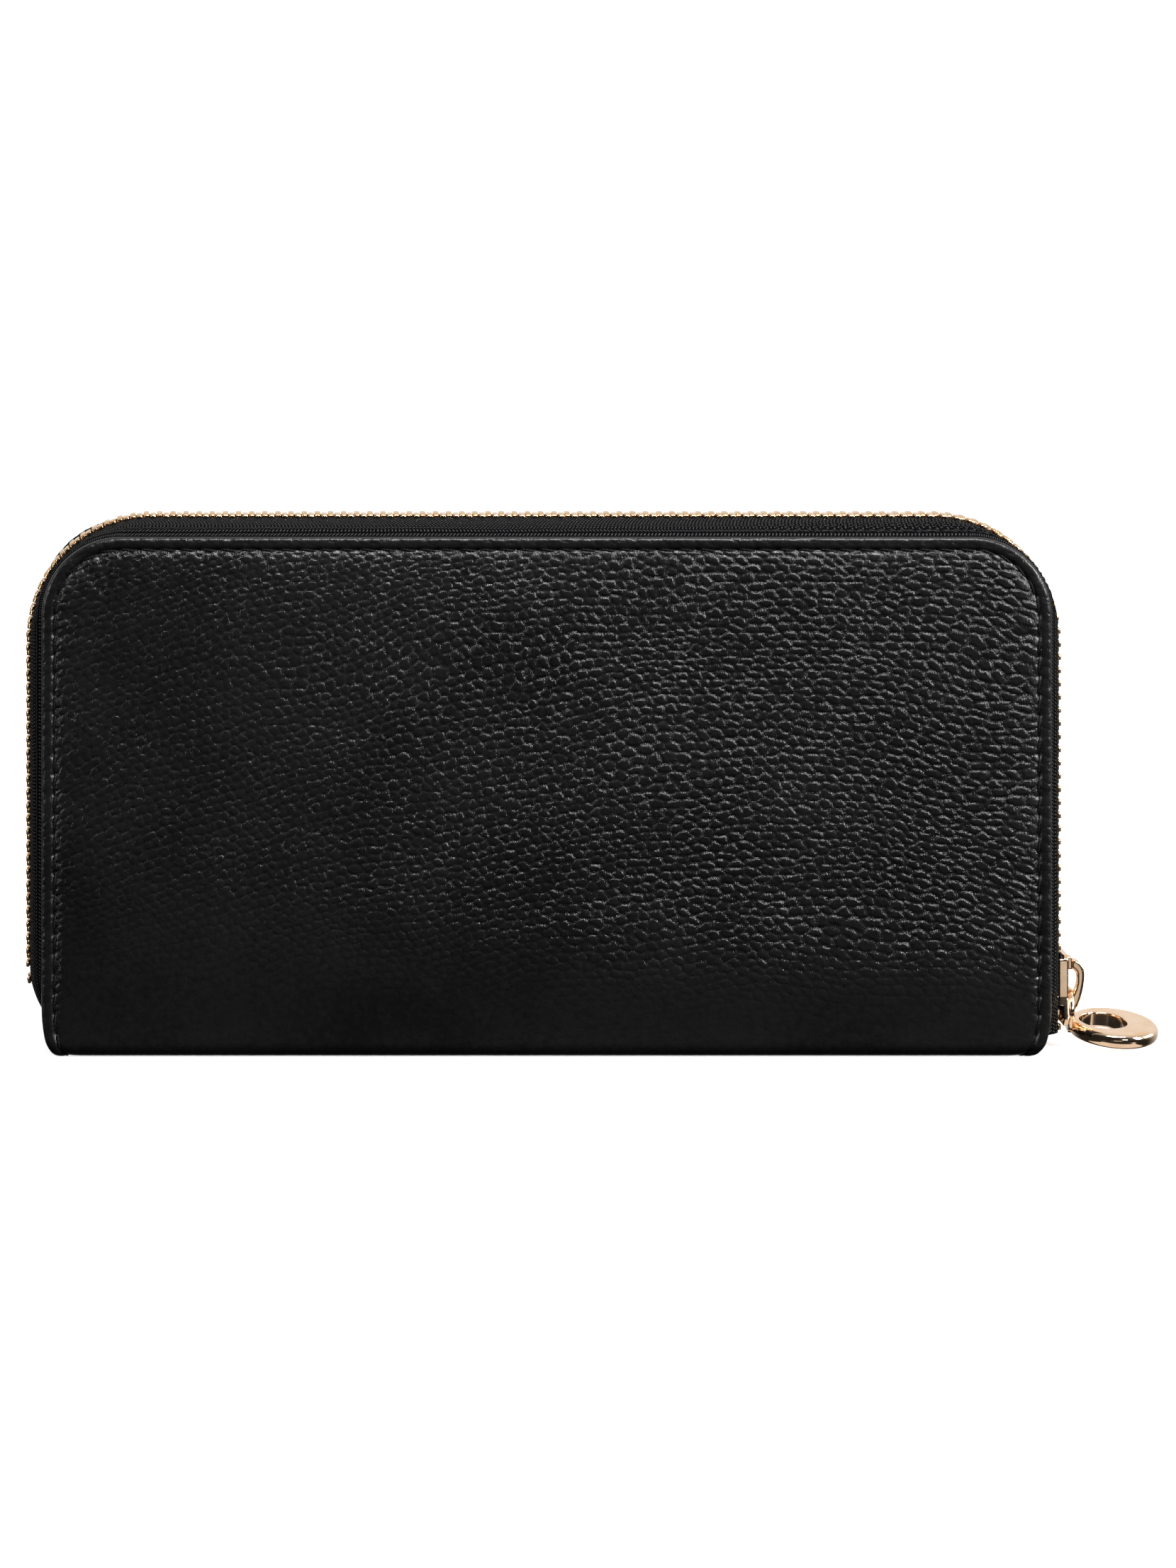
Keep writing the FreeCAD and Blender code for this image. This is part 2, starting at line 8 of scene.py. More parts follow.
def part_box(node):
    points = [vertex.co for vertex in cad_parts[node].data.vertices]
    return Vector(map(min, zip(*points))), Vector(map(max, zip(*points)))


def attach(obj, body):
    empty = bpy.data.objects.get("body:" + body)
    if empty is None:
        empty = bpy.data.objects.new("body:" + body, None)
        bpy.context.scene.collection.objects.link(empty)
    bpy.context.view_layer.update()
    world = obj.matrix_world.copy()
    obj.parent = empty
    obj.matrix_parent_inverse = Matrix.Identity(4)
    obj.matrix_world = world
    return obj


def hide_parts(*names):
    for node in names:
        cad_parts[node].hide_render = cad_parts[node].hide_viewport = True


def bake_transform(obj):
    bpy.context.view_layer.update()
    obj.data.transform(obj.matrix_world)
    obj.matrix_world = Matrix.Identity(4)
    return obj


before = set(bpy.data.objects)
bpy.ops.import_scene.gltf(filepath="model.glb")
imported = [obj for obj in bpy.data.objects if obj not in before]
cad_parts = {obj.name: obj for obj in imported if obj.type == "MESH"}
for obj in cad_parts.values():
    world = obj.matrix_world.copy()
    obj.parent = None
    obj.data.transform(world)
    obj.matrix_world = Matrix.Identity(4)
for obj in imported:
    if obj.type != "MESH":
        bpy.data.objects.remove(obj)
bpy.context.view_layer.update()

MM = 0.001

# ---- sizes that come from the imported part, in metres ----
COVER_LO, COVER_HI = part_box("front_cover_leather")
HALF_W = COVER_HI.x
TOP = COVER_HI.z
FACE = -COVER_LO.y
BEND_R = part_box("spine_leather")[1].z
TEETH_LO, TEETH_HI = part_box("front_zip_teeth")
TOOTH_REACH = 1.05 * MM  # from the chain's middle line to the teeth's outermost points
CHAIN_X = (TEETH_HI.x + abs(TEETH_LO.x)) / 2 - TOOTH_REACH
CHAIN_Z = TEETH_HI.z - TOOTH_REACH

# ---- shapes of the cover and of the zip's path, as in the part ----
TOP_R = 15 * MM  # the cover's top corners
FOOT_TUCK = 2.7 * MM  # how far the left edge draws in at the foot
FOOT_TUCK_RIGHT = 3.3 * MM
FOOT_RISE = 9.5 * MM  # the height where that starts
STITCH_IN = 2.5 * MM
STITCH_PITCH = 3.75 * MM
STITCH_START = 0.25 * MM
FLAT = FACE - BEND_R  # half of the spine's flat foot
BEND = BEND_R * math.pi / 2
CORNER_X, CORNER_Z = HALF_W - TOP_R, TOP - TOP_R  # centre of the right top corner
SEAM_R = TOP_R - STITCH_IN
CHAIN_R = 23 * MM
CURL_Z = 15.5 * MM  # the left end curls in round a centre at this height
CURL_R = 14 * MM
CURL_ANGLE = 50.0
GRAIN_DEPTH = 0.20 * MM
GRAIN_LEFT = 95  # mm from the middle to the left end, where the rows of pebbles climb most
GRAIN_BEND = 380  # mm, twice the cover's width: sets how fast the rows level out to the right


# ---- mesh helpers ----


def smoothstep(a, b, x):
    t = np.clip((np.asarray(x, float) - a) / (b - a), 0, 1)
    return t * t * (3 - 2 * t)


def lerp(a, b, t):
    return a + (b - a) * t


def grid_faces(rows, cols, wrap_cols=False, start=0):
    """Quads over a rows by cols grid of vertices."""
    r, c = np.meshgrid(np.arange(rows - 1), np.arange(cols if wrap_cols else cols - 1), indexing="ij")
    c1 = (c + 1) % cols
    quads = np.stack([r * cols + c, r * cols + c1, (r + 1) * cols + c1, (r + 1) * cols + c], -1)
    return quads.reshape(-1, 4) + start


def new_mesh(name, verts, faces, uv=None, marks=None, flip=False):
    mesh = bpy.data.meshes.new(name)
    faces = [list(map(int, f)) for f in faces]
    if flip:
        faces = [f[::-1] for f in faces]
    mesh.from_pydata(np.asarray(verts, float).tolist(), [], faces)
    mesh.polygons.foreach_set("use_smooth", [True] * len(mesh.polygons))
    corners = np.zeros(len(mesh.loops), np.int32)
    mesh.loops.foreach_get("vertex_index", corners)
    if uv is not None:
        layer = mesh.uv_layers.new(name="UVMap")
        layer.data.foreach_set("uv", np.asarray(uv, np.float32)[corners].ravel())
    for key, values in (marks or {}).items():
        attribute = mesh.attributes.new(key, "FLOAT", "POINT")
        attribute.data.foreach_set("value", np.asarray(values, np.float32))
    mesh.validate()
    mesh.update()
    piece = bpy.data.objects.new(name, mesh)
    bpy.context.scene.collection.objects.link(piece)
    return piece


def front_or_back(side):
    return "back" if side > 0 else "front"


def turned_round(piece):
    """Mirrors a piece made for the front so that it fits the back."""
    piece.data.transform(Matrix.Diagonal((1, -1, 1, 1)))
    return piece


def paint(piece, material):
    piece.data.materials.clear()
    piece.data.materials.append(material)
    return piece


# ---- materials ----


class Nodes:
    """A short way to write a node tree: sockets go in, sockets come out."""

    def __init__(self, name, owners=bpy.data.materials, kind="Material"):
        self.owner = owners.new(name)
        self.owner.use_nodes = True
        self.tree = self.owner.node_tree
        self.tree.nodes.clear()
        self.out = self.tree.nodes.new("ShaderNodeOutput" + kind)

    def feed(self, socket, value):
        if isinstance(value, bpy.types.NodeSocket):
            self.tree.links.new(value, socket)
        elif value is not None:
            socket.default_value = value

    def node(self, kind, inputs=None, out=0, **props):
        n = self.tree.nodes.new("ShaderNode" + kind)
        for key, value in props.items():
            setattr(n, key, value)
        for key, value in (inputs or {}).items():
            self.feed(n.inputs[key], value)
        return n.outputs[out]

    def math(self, op, a, b=None):
        return self.node("Math", {0: a, 1: b}, operation=op)

    def mul(self, a, b):
        return self.math("MULTIPLY", a, b)

    def add(self, a, b):
        return self.math("ADD", a, b)

    def ramp(self, value, low, high, out_low=0.0, out_high=1.0):
        return self.node("MapRange", {"Value": value, "From Min": low, "From Max": high,
                                      "To Min": out_low, "To Max": out_high}, interpolation_type="SMOOTHSTEP")

    def place(self, which="Object"):
        found = [n for n in self.tree.nodes if n.type == "TEX_COORD"]
        return (found[0] if found else self.tree.nodes.new("ShaderNodeTexCoord")).outputs[which]

    def uv(self):
        """U and V, in millimetres."""
        return self.node("SeparateXYZ", {"Vector": self.place("UV")}).node.outputs[:2]

    def noise(self, scale, detail=2.0, rough=0.5, where=None, stretch=None):
        vector = where or self.place()
        if stretch:
            vector = self.node("Mapping", {"Vector": vector, "Scale": stretch})
        return self.node("TexNoise", {"Vector": vector, "Scale": scale, "Detail": detail, "Roughness": rough})

    def mix(self, factor, a, b):
        return self.node("Mix", {0: factor, 6: a, 7: b}, out=2, data_type="RGBA")

    def bump(self, height, strength, distance, below=None):
        return self.node("Bump", {"Height": height, "Strength": strength, "Distance": distance,
                                  "Normal": below})

    def principled(self, **inputs):
        return self.node("BsdfPrincipled", {key.replace("_", " "): value for key, value in inputs.items()})

    def surface(self, **inputs):
        self.feed(self.out.inputs[0], self.principled(**inputs))
        return self.owner

    def camera_only(self, seen, other):
        """Sends out the shader called seen for the camera, and the one called other for bounced light."""
        mixed = self.node("MixShader", {0: self.node("LightPath"), 1: other, 2: seen})
        self.feed(self.out.inputs[0], mixed)
        return self.owner


def rgb(r, g, b, share=1.0):
    return (r * share, g * share, b * share, 1.0)


def leather(name, shade=0.0045, rough=0.27, pebbled=True):
    """Black leather: pores, small creases and uneven polish, and streaked slopes between any pebbles."""
    n = Nodes(name)
    cell = n.node("TexVoronoi", {"Vector": n.place(), "Scale": 1450.0}, feature="DISTANCE_TO_EDGE")
    fine = n.noise(3400.0, 3.0, 0.6)
    crease = n.noise(700.0, 5.0, 0.66)
    tone = n.noise(38.0, 3.0)
    colour = n.mix(n.ramp(n.add(n.mul(tone, 0.6), n.mul(crease, 0.4)), 0.35, 0.65),
                   rgb(0.7, 0.7, 0.73, shade), rgb(1.4, 1.38, 1.39, shade))
    height = n.add(n.mul(n.ramp(cell, 0.0, 0.16), 0.35), n.add(n.mul(fine, 0.30), n.mul(crease, 1.1)))
    gloss = n.add(rough - 0.10, n.add(n.mul(crease, 0.16), n.mul(fine, 0.06)))
    if not pebbled:
        return n.surface(Base_Color=colour, Roughness=gloss, Specular_IOR_Level=0.42,
                         Normal=n.bump(height, 0.35, 0.00011))
    amount = n.node("Attribute", attribute_name="grain", out=2)
    valley = n.node("Attribute", attribute_name="valley", out=2)
    wall = n.ramp(valley, -0.04, 0.34)
    streak = n.noise(1500.0, 2.0, 0.6, stretch=(2.3, 1.0, 0.8))
    crumple = n.mul(n.add(n.mul(crease, 0.6), n.mul(streak, 0.9)), n.math("SUBTRACT", 1.25, wall))
    broken = n.ramp(n.noise(620.0, 2.0), 0.36, 0.60, 0.42, 1.02)
    crisp = n.bump(n.add(wall, n.mul(crumple, 0.8)), n.mul(amount, broken), 0.00048)
    strength = n.mul(n.math("SUBTRACT", 1.0, n.mul(wall, 0.55)), 0.30)
    return n.surface(Base_Color=colour, Roughness=n.add(gloss, n.mul(wall, 0.03)), Specular_IOR_Level=0.39,
                     Normal=n.bump(height, strength, 0.00010, below=crisp))


def woven(name, shade=0.0075, along=0.64, row=0.6, lift=1.0):
    """A herringbone tape: short floats in rows that lean one way and then the other, with painted shade
    between the floats and a painted highlight on their crests. UV is in millimetres.
    """
    n = Nodes(name)
    u, v = n.uv()
    u = n.add(u, n.mul(n.noise(700.0, 2.0), 0.16))
    v = n.add(v, n.mul(n.noise(1100.0, 1.0), 0.14))
    number = n.math("FLOOR", n.math("DIVIDE", v, row))
    across = n.math("SUBTRACT", n.math("FRACT", n.math("DIVIDE", v, row)), 0.5)
    lean = n.math("SUBTRACT", n.mul(n.math("PINGPONG", number, 1.0), 2.0), 1.0)
    phase = n.add(n.math("DIVIDE", u, along), n.add(n.mul(n.mul(lean, across), 0.85), n.mul(number, 0.37)))
    ridge = n.math("SINE", n.mul(phase, 2 * math.pi))
    body = n.math("COSINE", n.mul(across, math.pi * 0.96))
    height = n.mul(n.ramp(ridge, -0.7, 0.8), body)
    fuzz = n.noise(5200.0, 2.0)
    # Painted light: the colour is lighter on the float crests and darker in the hollows between floats. This
    # painted highlight and painted shade follow the bump's height.
    colour = n.mix(n.ramp(height, 0.25, 1.0), rgb(0.35, 0.35, 0.38, shade), rgb(3.2, 3.25, 3.4, shade))
    return n.surface(Base_Color=colour, Roughness=n.add(0.42, n.mul(fuzz, 0.25)),
                     Specular_IOR_Level=n.ramp(height, 0.45, 1.0, 0.0, 0.30),
                     Normal=n.bump(n.add(height, n.mul(fuzz, 0.2)), lift, 0.00022))


def cloth(name, colour=(0.02, 0.02, 0.022), pitch=0.42):
    """A plain woven lining: over and under threads. UV is in millimetres."""
    n = Nodes(name)
    weft, warp = [n.math("SINE", n.mul(way, math.pi / pitch)) for way in n.uv()]
    over = n.mul(weft, warp)
    slub = n.noise(160.0, 3.0)
    height = n.add(n.math("ABSOLUTE", over), n.mul(n.noise(2600.0, 2.0), 0.3))
    shade = n.mix(n.ramp(n.add(n.mul(over, 0.3), slub), 0.3, 0.8), rgb(*colour, 0.55), rgb(*colour, 1.6))
    return n.surface(Base_Color=shade, Roughness=n.add(0.55, n.mul(slub, 0.2)), Specular_IOR_Level=0.35,
                     Sheen_Weight=0.3, Sheen_Roughness=0.35, Normal=n.bump(height, 0.5, 0.00008))


def thread(name, shade=0.004):
    """Waxed thread: two plies that twist round each other, with painted shade in the grooves between them and
    a painted highlight on their crests. UV is in millimetres, along and round.
    """
    n = Nodes(name)
    u, v = n.uv()
    twist = n.add(n.mul(u, 1.6), n.mul(v, 2.0))
    ply = n.math("SINE", n.mul(twist, 2 * math.pi))
    fuzz = n.noise(4200.0, 2.0)
    # Painted light: the colour is lighter on the ply crests and darker in the grooves between plies. This
    # painted highlight and painted shade follow the bump.
    colour = n.mix(n.ramp(ply, -1.0, 1.0), rgb(0.5, 0.5, 0.5, shade), rgb(1.4, 1.4, 1.45, shade))
    return n.surface(Base_Color=colour, Roughness=n.add(0.46, n.mul(fuzz, 0.2)), Specular_IOR_Level=0.12,
                     Normal=n.bump(n.add(n.mul(ply, 0.4), fuzz), 0.6, 0.00008))


def gold(name, tint, rough, scratch):
    """Plated metal with fine polishing marks and uneven polish, and a deeper colour where it is duller."""
    n = Nodes(name)
    cloudy = n.noise(220.0, 3.0)
    marks = n.noise(2600.0, 2.0, 0.6, stretch=(1.0, 6.0, 1.0))
    pits = n.node("TexVoronoi", {"Vector": n.place(), "Scale": 2100.0})
    deep = rgb(tint[0] * 0.93, tint[1] * 0.86, tint[2] * 0.76)
    colour = n.mix(n.ramp(cloudy, 0.35, 0.7), rgb(*tint), deep)
    gloss = n.add(rough - 0.03, n.add(n.mul(cloudy, 0.07), n.mul(marks, 0.05 * scratch)))
    height = n.add(n.mul(marks, 0.8), n.mul(n.ramp(pits, 0.0, 0.12), 0.3))
    return n.surface(Base_Color=colour, Metallic=1.0, Roughness=gloss,
                     Normal=n.bump(height, 0.10 * scratch, 0.00002))


# ---- the cover's sheet ----


def half_width(z, right=False):
    """Half the cover's width at a height: the side edges tuck in at the foot, the right one more."""
    k = np.clip(1 - np.asarray(z, float) / FOOT_RISE, 0, 1)
    return HALF_W - np.where(right, FOOT_TUCK_RIGHT, FOOT_TUCK) * (1 - np.sqrt(1 - k * k))


def sheet_rows(inward, top, step):
    """Points up the middle of a cover's section, from the spine's centre line to the top, for the front.

    Each is y, z and the outward normal's y and z. inward is the depth below the leather's face.
    """
    radius = BEND_R - inward
    bend = radius * math.pi / 2
    rise = top - BEND_R
    counts = [max(2, round(FLAT / (step * 1.6))), max(5, round(bend / (step * 0.8))), round(rise / step)]
    rows = []
    for i in range(counts[0]):
        rows.append((-FLAT * i / counts[0], inward, 0.0, -1.0))
    for i in range(counts[1]):
        a = math.pi / 2 * i / counts[1]
        sine, cosine = math.sin(a), math.cos(a)
        rows.append((BEND_R - FACE - radius * sine, BEND_R - radius * cosine, -sine, -cosine))
    for i in range(counts[2] + 1):
        rows.append((inward - FACE, BEND_R + rise * i / counts[2], -1.0, 0.0))
    return np.array(rows)


RANDOM = np.random.default_rng(7).random((3, 256, 256))


def soft_noise(x, y, seed):
    """Smooth random hills, -1 to 1, with one hill or hollow about every unit."""
    x, y = np.asarray(x, float) + seed * 17.3, np.asarray(y, float) + seed * 31.7
    i, j = np.floor(x).astype(int), np.floor(y).astype(int)
    fx, fy = x - i, y - j
    fx, fy = fx * fx * (3 - 2 * fx), fy * fy * (3 - 2 * fy)
    table = RANDOM[0]
    a, b = table[i % 256, j % 256], table[(i + 1) % 256, j % 256]
    c, d = table[i % 256, (j + 1) % 256], table[(i + 1) % 256, (j + 1) % 256]
    return 2 * (a + (b - a) * fx + (c - a) * fy + (a - b - c + d) * fx * fy) - 1


def cells(u, v, jitter):
    """Staggered rows of irregular cells: distance to the centre, to the border, and how upright that is."""
    row = np.floor(v).astype(int)
    best = [np.full(u.shape, 99.0) for _ in range(2)]
    spot = [np.zeros(u.shape + (2,)) for _ in range(2)]
    for dj in (-1, 0, 1):
        j = row + dj
        shift = 0.5 * (j % 2)
        column = np.floor(u - shift).astype(int)
        for di in (-1, 0, 1):
            i = column + di
            px = i + shift + 0.5 + jitter * (RANDOM[1][i % 256, j % 256] - 0.5)
            py = j + 0.5 + jitter * (RANDOM[2][i % 256, j % 256] - 0.5)
            d = np.hypot(px - u, py - v)
            here = np.stack([px, py], -1)
            first, second = d < best[0], (d >= best[0]) & (d < best[1])
            spot[1] = np.where(first[..., None], spot[0], np.where(second[..., None], here, spot[1]))
            best[1] = np.where(first, best[0], np.where(second, d, best[1]))
            spot[0] = np.where(first[..., None], here, spot[0])
            best[0] = np.where(first, d, best[0])
    across = np.abs(spot[1] - spot[0])
    gap = np.hypot(across[..., 0], across[..., 1]) + 1e-6
    return best[0], (best[1] ** 2 - best[0] ** 2) / (2 * gap), across[..., 0] / gap


def pebbles(x, z, seed):
    """Tumbled grain at each point: the height of flat-topped pebbles, and how far it is to the next valley.

    The rows of pebbles climb to the right on the left half, and stretch along X on the right half.
    """
    a, b = x / MM, z / MM
    crinkle = soft_noise(a * 1.9, b * 1.9, seed + 30)
    faint = np.clip(soft_noise(a * 0.30, b * 0.36, seed + 50), 0, 1)
    a = a + 2.0 * soft_noise(a * 0.055, b * 0.06, seed) + 0.22 * soft_noise(a * 0.65, b * 0.65, seed + 3)
    b = b + 2.2 * soft_noise(a * 0.05, b * 0.06, seed + 9) + 0.26 * soft_noise(a * 0.65, b * 0.65, seed + 5)
    run = a + GRAIN_LEFT
    u = 0.56 * a + 0.14 * b - 0.26 * run * run / GRAIN_BEND
    v = 0.62 * (b - 0.46 * run + 0.62 * run * run / GRAIN_BEND)
    near, border, upright = cells(u, v, 0.52)
    edge = border * (1 + 0.40 * crinkle) + 0.02 * faint + 0.035 * upright
    wall = smoothstep(0, 0.20, edge)
    deep = 0.85 + 0.35 * soft_noise(a * 0.16, b * 0.16, seed + 20)
    return 1 - (1 - wall) * deep * (1 + 0.4 * crinkle) - 0.15 * near * near + 0.03 * crinkle, edge


# The turned edge's section: distance outwards from the stitch row, and height above the face.
RIM_PROFILE = np.array([
    (0.00, -0.34), (0.16, -0.30), (0.36, -0.12), (0.62, 0.02), (0.95, 0.08), (1.30, 0.08), (1.66, 0.05),
    (1.98, -0.03), (2.20, -0.18), (2.35, -0.42), (2.43, -0.74), (2.44, -1.10), (2.36, -1.40), (2.16, -1.57),
    (1.80, -1.62), (0.60, -1.62), (-2.5, -1.62)]) * MM


def crown(e, z):
    """Height of the padded panel at a distance e inside the stitch row."""
    puff = -0.34 + 0.52 * (1 - np.exp(-e / (0.9 * MM))) + 0.55 * (1 - np.exp(-e / (8 * MM)))
    flat = -0.34 + 0.34 * (1 - np.exp(-e / (0.8 * MM)))
    return lerp(flat, puff, smoothstep(2 * MM, 16 * MM, z)) * MM


def seam_run(x, z, y):
    """How far along the stitch row, from the right foot at the spine's centre line, the nearest point is."""
    low = np.clip(z / BEND_R, 0, 1)
    bend = BEND_R * np.arccos(1 - low)
    up = np.where(low < 1e-6, np.clip(np.abs(y), 0, FLAT), FLAT) + bend
    up = up + np.clip(z - BEND_R, 0, CORNER_Z - BEND_R)
    high, wide = z > CORNER_Z, np.abs(x) > CORNER_X
    turn = np.arctan2(np.clip(z - CORNER_Z, 0, None), np.clip(np.abs(x) - CORNER_X, 1e-9, None))
    across = np.clip(CORNER_X - np.abs(x), 0, None)
    # In from the edges, the nearer of the top and the side decides.
    near_top = (z > CORNER_Z - 25 * MM) & (TOP - z < HALF_W - np.abs(x)) & ~(wide & high)
    full = FLAT + BEND + CORNER_Z - BEND_R
    over = np.where(high & ~wide | near_top, full + SEAM_R * math.pi / 2 + across, up)
    half_run = np.where(wide & high, full + turn * SEAM_R, over)
    return np.where(x < 0, seam_length() - half_run, half_run)


def pulled(run, e, corner):
    """Height of the puckers that the stitches pull into the panel, at a distance e from the row."""
    beat = -np.cos(2 * np.pi * (run - STITCH_START) / STITCH_PITCH)
    folds = np.cos(2 * np.pi * run / (STITCH_PITCH * 1.31) + 1.0)
    near = 0.06 * np.exp(-np.abs(e) / (0.8 * MM)) * beat
    long = corner * 0.16 * np.exp(-np.abs(e) / (4.5 * MM)) * (0.6 * beat + 0.6 * folds)
    return (near + long * smoothstep(0, 1.2 * MM, e)) * MM


def cover_leather(side, seed):
    """One cover's leather, from the spine's centre line to its top edge: turned rim and padded panel."""
    cell = 0.34 * MM
    inner = 4.0 * MM
    rows = sheet_rows(0.0, TOP - inner, cell)
    cols = 2 * round((HALF_W - inner) / cell) + 1
    u = np.linspace(-1, 1, cols)
    r_in = TOP_R - inner
    cx, cz = CORNER_X, CORNER_Z
    grid = []
    for y, z, ny, nz in rows:
        x = u * (half_width(z, u > 0) - inner)
        zz = np.full(cols, z)
        q = (z - cz) / r_in
        if q > 0:
            p = np.clip((np.abs(x) - cx) / r_in, 0, None)
            x = np.where(p > 0, np.sign(x) * (cx + r_in * p * math.sqrt(max(0.0, 1 - q * q / 2))), x)
            zz = np.where(p > 0, cz + r_in * q * np.sqrt(np.clip(1 - p * p / 2, 0, 1)), zz)
        grid.append([x, np.full(cols, y), zz, np.full(cols, ny), np.full(cols, nz)])
    x, y, z, ny, nz = np.array(grid).transpose(1, 0, 2)

    def inside(px, pz):
        """Distance to the stitch row, inwards."""
        corner = TOP_R - np.hypot(np.clip(np.abs(px) - cx, 0, None), np.clip(pz - cz, 0, None))
        straight = np.minimum(half_width(pz, px > 0) - np.abs(px), TOP - pz)
        both = (np.abs(px) > cx) & (pz > cz)
        return np.where(both, corner, straight) - STITCH_IN

    def near_corner(px, pz):
        """1 at the top corners, fading to 0 along the sides."""
        away = np.hypot(HALF_W - TOP_R * 0.3 - np.abs(px), TOP - TOP_R * 0.3 - pz)
        return 1 - smoothstep(10 * MM, 30 * MM, away)

    # The U shaped border of the interior, right foot to left foot, and the direction out of it.
    n_rows = len(rows)
    border = [(r, cols - 1) for r in range(n_rows)] + [(n_rows - 1, c) for c in range(cols - 2, -1, -1)]
    border += [(r, 0) for r in range(n_rows - 2, -1, -1)]
    br, bc = np.array(border).T
    bx, by, bz, bny, bnz = x[br, bc], y[br, bc], z[br, bc], ny[br, bc], nz[br, bc]
    on_top = bz >= TOP - inner - 1e-9
    arc = (np.abs(bx) > cx) & (bz > cz)
    ox = np.where(arc, np.sign(bx) * (np.abs(bx) - cx) / r_in, np.where(on_top, 0.0, np.sign(bx)))
    oz = np.where(arc, (bz - cz) / r_in, np.where(on_top, 1.0, 0.0))
    length = np.hypot(ox, oz)
    ox, oz = ox / length, oz / length
    run = seam_run(bx, bz, by)
    to_hole = (run - STITCH_START + STITCH_PITCH / 2) % STITCH_PITCH - STITCH_PITCH / 2
    hole = np.exp(-((to_hole + 0.2 * MM) / (0.32 * MM)) ** 2)
    corner = near_corner(bx, bz)
    shiver = soft_noise(run * 900, run * 0, seed + 7) + 0.6 * soft_noise(run * 300, run * 0, seed + 8)

    inner_lines = np.linspace(0, inner - STITCH_IN, 6)[1:-1]
    d_list = [(d, None) for d in inner_lines] + [(inner - STITCH_IN + d, h) for d, h in RIM_PROFILE]
    sx, sy, sz, sgrain, shell = [], [], [], [], []
    for d, h in d_list:
        px, pz = bx + ox * d, bz + oz * d
        e = inner - STITCH_IN - d
        if h is None:
            height = crown(np.full(len(bx), e), bz) + pulled(run, e, corner)
            amount = 0.9
        else:
            out = d - (inner - STITCH_IN)
            open_side = 1.0 if h > -0.7 * MM else 0.0
            sunk = 0.26 * MM * hole * math.exp(-(out / (0.36 * MM)) ** 2)
            height = h + open_side * (pulled(run, out, 0.0) - sunk)
            height = height + open_side * 0.06 * MM * shiver * float(smoothstep(0.2 * MM, 0.8 * MM, out))
            amount = 0.35 if h > -0.9 * MM else 0.15
        sx.append(px)
        sy.append(by + bny * height)
        sz.append(pz + bnz * height)
        sgrain.append(np.full(len(bx), amount))
        shell.append(height)

    # The panel's grain: stronger to the right on the front, and fading out towards the foot.
    e_in = inside(x, z)
    run_in = seam_run(x, z, y)
    to_right = smoothstep(-100 * MM, 55 * MM, x) if side < 0 else np.full(x.shape, 0.6)
    full_height = (26 + 16 * (1 - to_right)) * MM
    upward = np.clip((z - 6 * MM) / (full_height - 6 * MM), 0, 1)
    grain_amount = (upward * upward * (3 - 2 * upward) * (0.44 + 0.46 * to_right) + 0.08)
    grain_amount = grain_amount * (0.55 + 0.45 * smoothstep(0, 2.5 * MM, e_in))
    h_in = crown(np.clip(e_in, 0, None), z) + pulled(run_in, e_in, near_corner(x, z))
    grain_h, valley = pebbles(x.ravel(), z.ravel(), seed)
    grain_h = grain_h.reshape(x.shape) - 0.8
    h_in = h_in + GRAIN_DEPTH * grain_amount * grain_h
    soft = soft_noise(x * 40, z * 48, seed + 40) + 0.5 * soft_noise(x * 100, z * 100, seed + 41)
    h_in = h_in + 0.13 * MM * soft * smoothstep(0, 12 * MM, e_in) * smoothstep(2 * MM, 20 * MM, z)
    verts = np.stack([x, y + ny * h_in, z + nz * h_in], -1).reshape(-1, 3)
    faces = [grid_faces(n_rows, cols)]

    # Rim strips, joined to the interior along its border.
    count = len(border)
    first = len(verts)
    rim = np.stack([np.array(sx), np.array(sy), np.array(sz)], -1)
    rim_grain, rim_valley = pebbles(rim[..., 0].ravel(), rim[..., 2].ravel(), seed)
    rim_grain = rim_grain.reshape(rim.shape[:2]) - 0.8
    strip = np.arange(len(d_list))[:, None]
    on_panel = (strip < len(inner_lines)).astype(float)
    visible = np.where(np.array(shell) > -0.95 * MM, 1.0, 0.0) * (0.10 + 0.42 * on_panel)
    visible = visible * smoothstep(4 * MM, 22 * MM, bz)
    push = GRAIN_DEPTH * rim_grain * visible
    rim[..., 1] += bny * push
    rim[..., 2] += bnz * push
    rim_index = first + np.arange(rim.shape[0] * count).reshape(-1, count)
    index = np.concatenate([(br * cols + bc)[None], rim_index])
    a, b = index[:-1, :-1], index[:-1, 1:]
    c, d = index[1:, 1:], index[1:, :-1]
    faces.append(np.stack([a, d, c, b], -1).reshape(-1, 4))
    verts = np.concatenate([verts, rim.reshape(-1, 3)])
    rim_amount = np.array(sgrain) * smoothstep(0, 20 * MM, bz)
    grain = np.concatenate([np.clip(grain_amount, 0.06, 1).ravel(), rim_amount.ravel()])

    # The hidden inner face, as long strips from the right border to the left one.
    last = index[-1]
    half = count // 2
    left = last[::-1][:half]
    right = last[:half]
    faces.append(np.stack([right[:-1], left[:-1], left[1:], right[1:]], -1))
    if side > 0:
        verts = verts * np.array([1, -1, 1])
    return new_mesh(front_or_back(side) + "_cover_hide", verts, np.concatenate(faces), flip=side > 0,
                    marks={"grain": grain, "valley": np.concatenate([valley, rim_valley])})


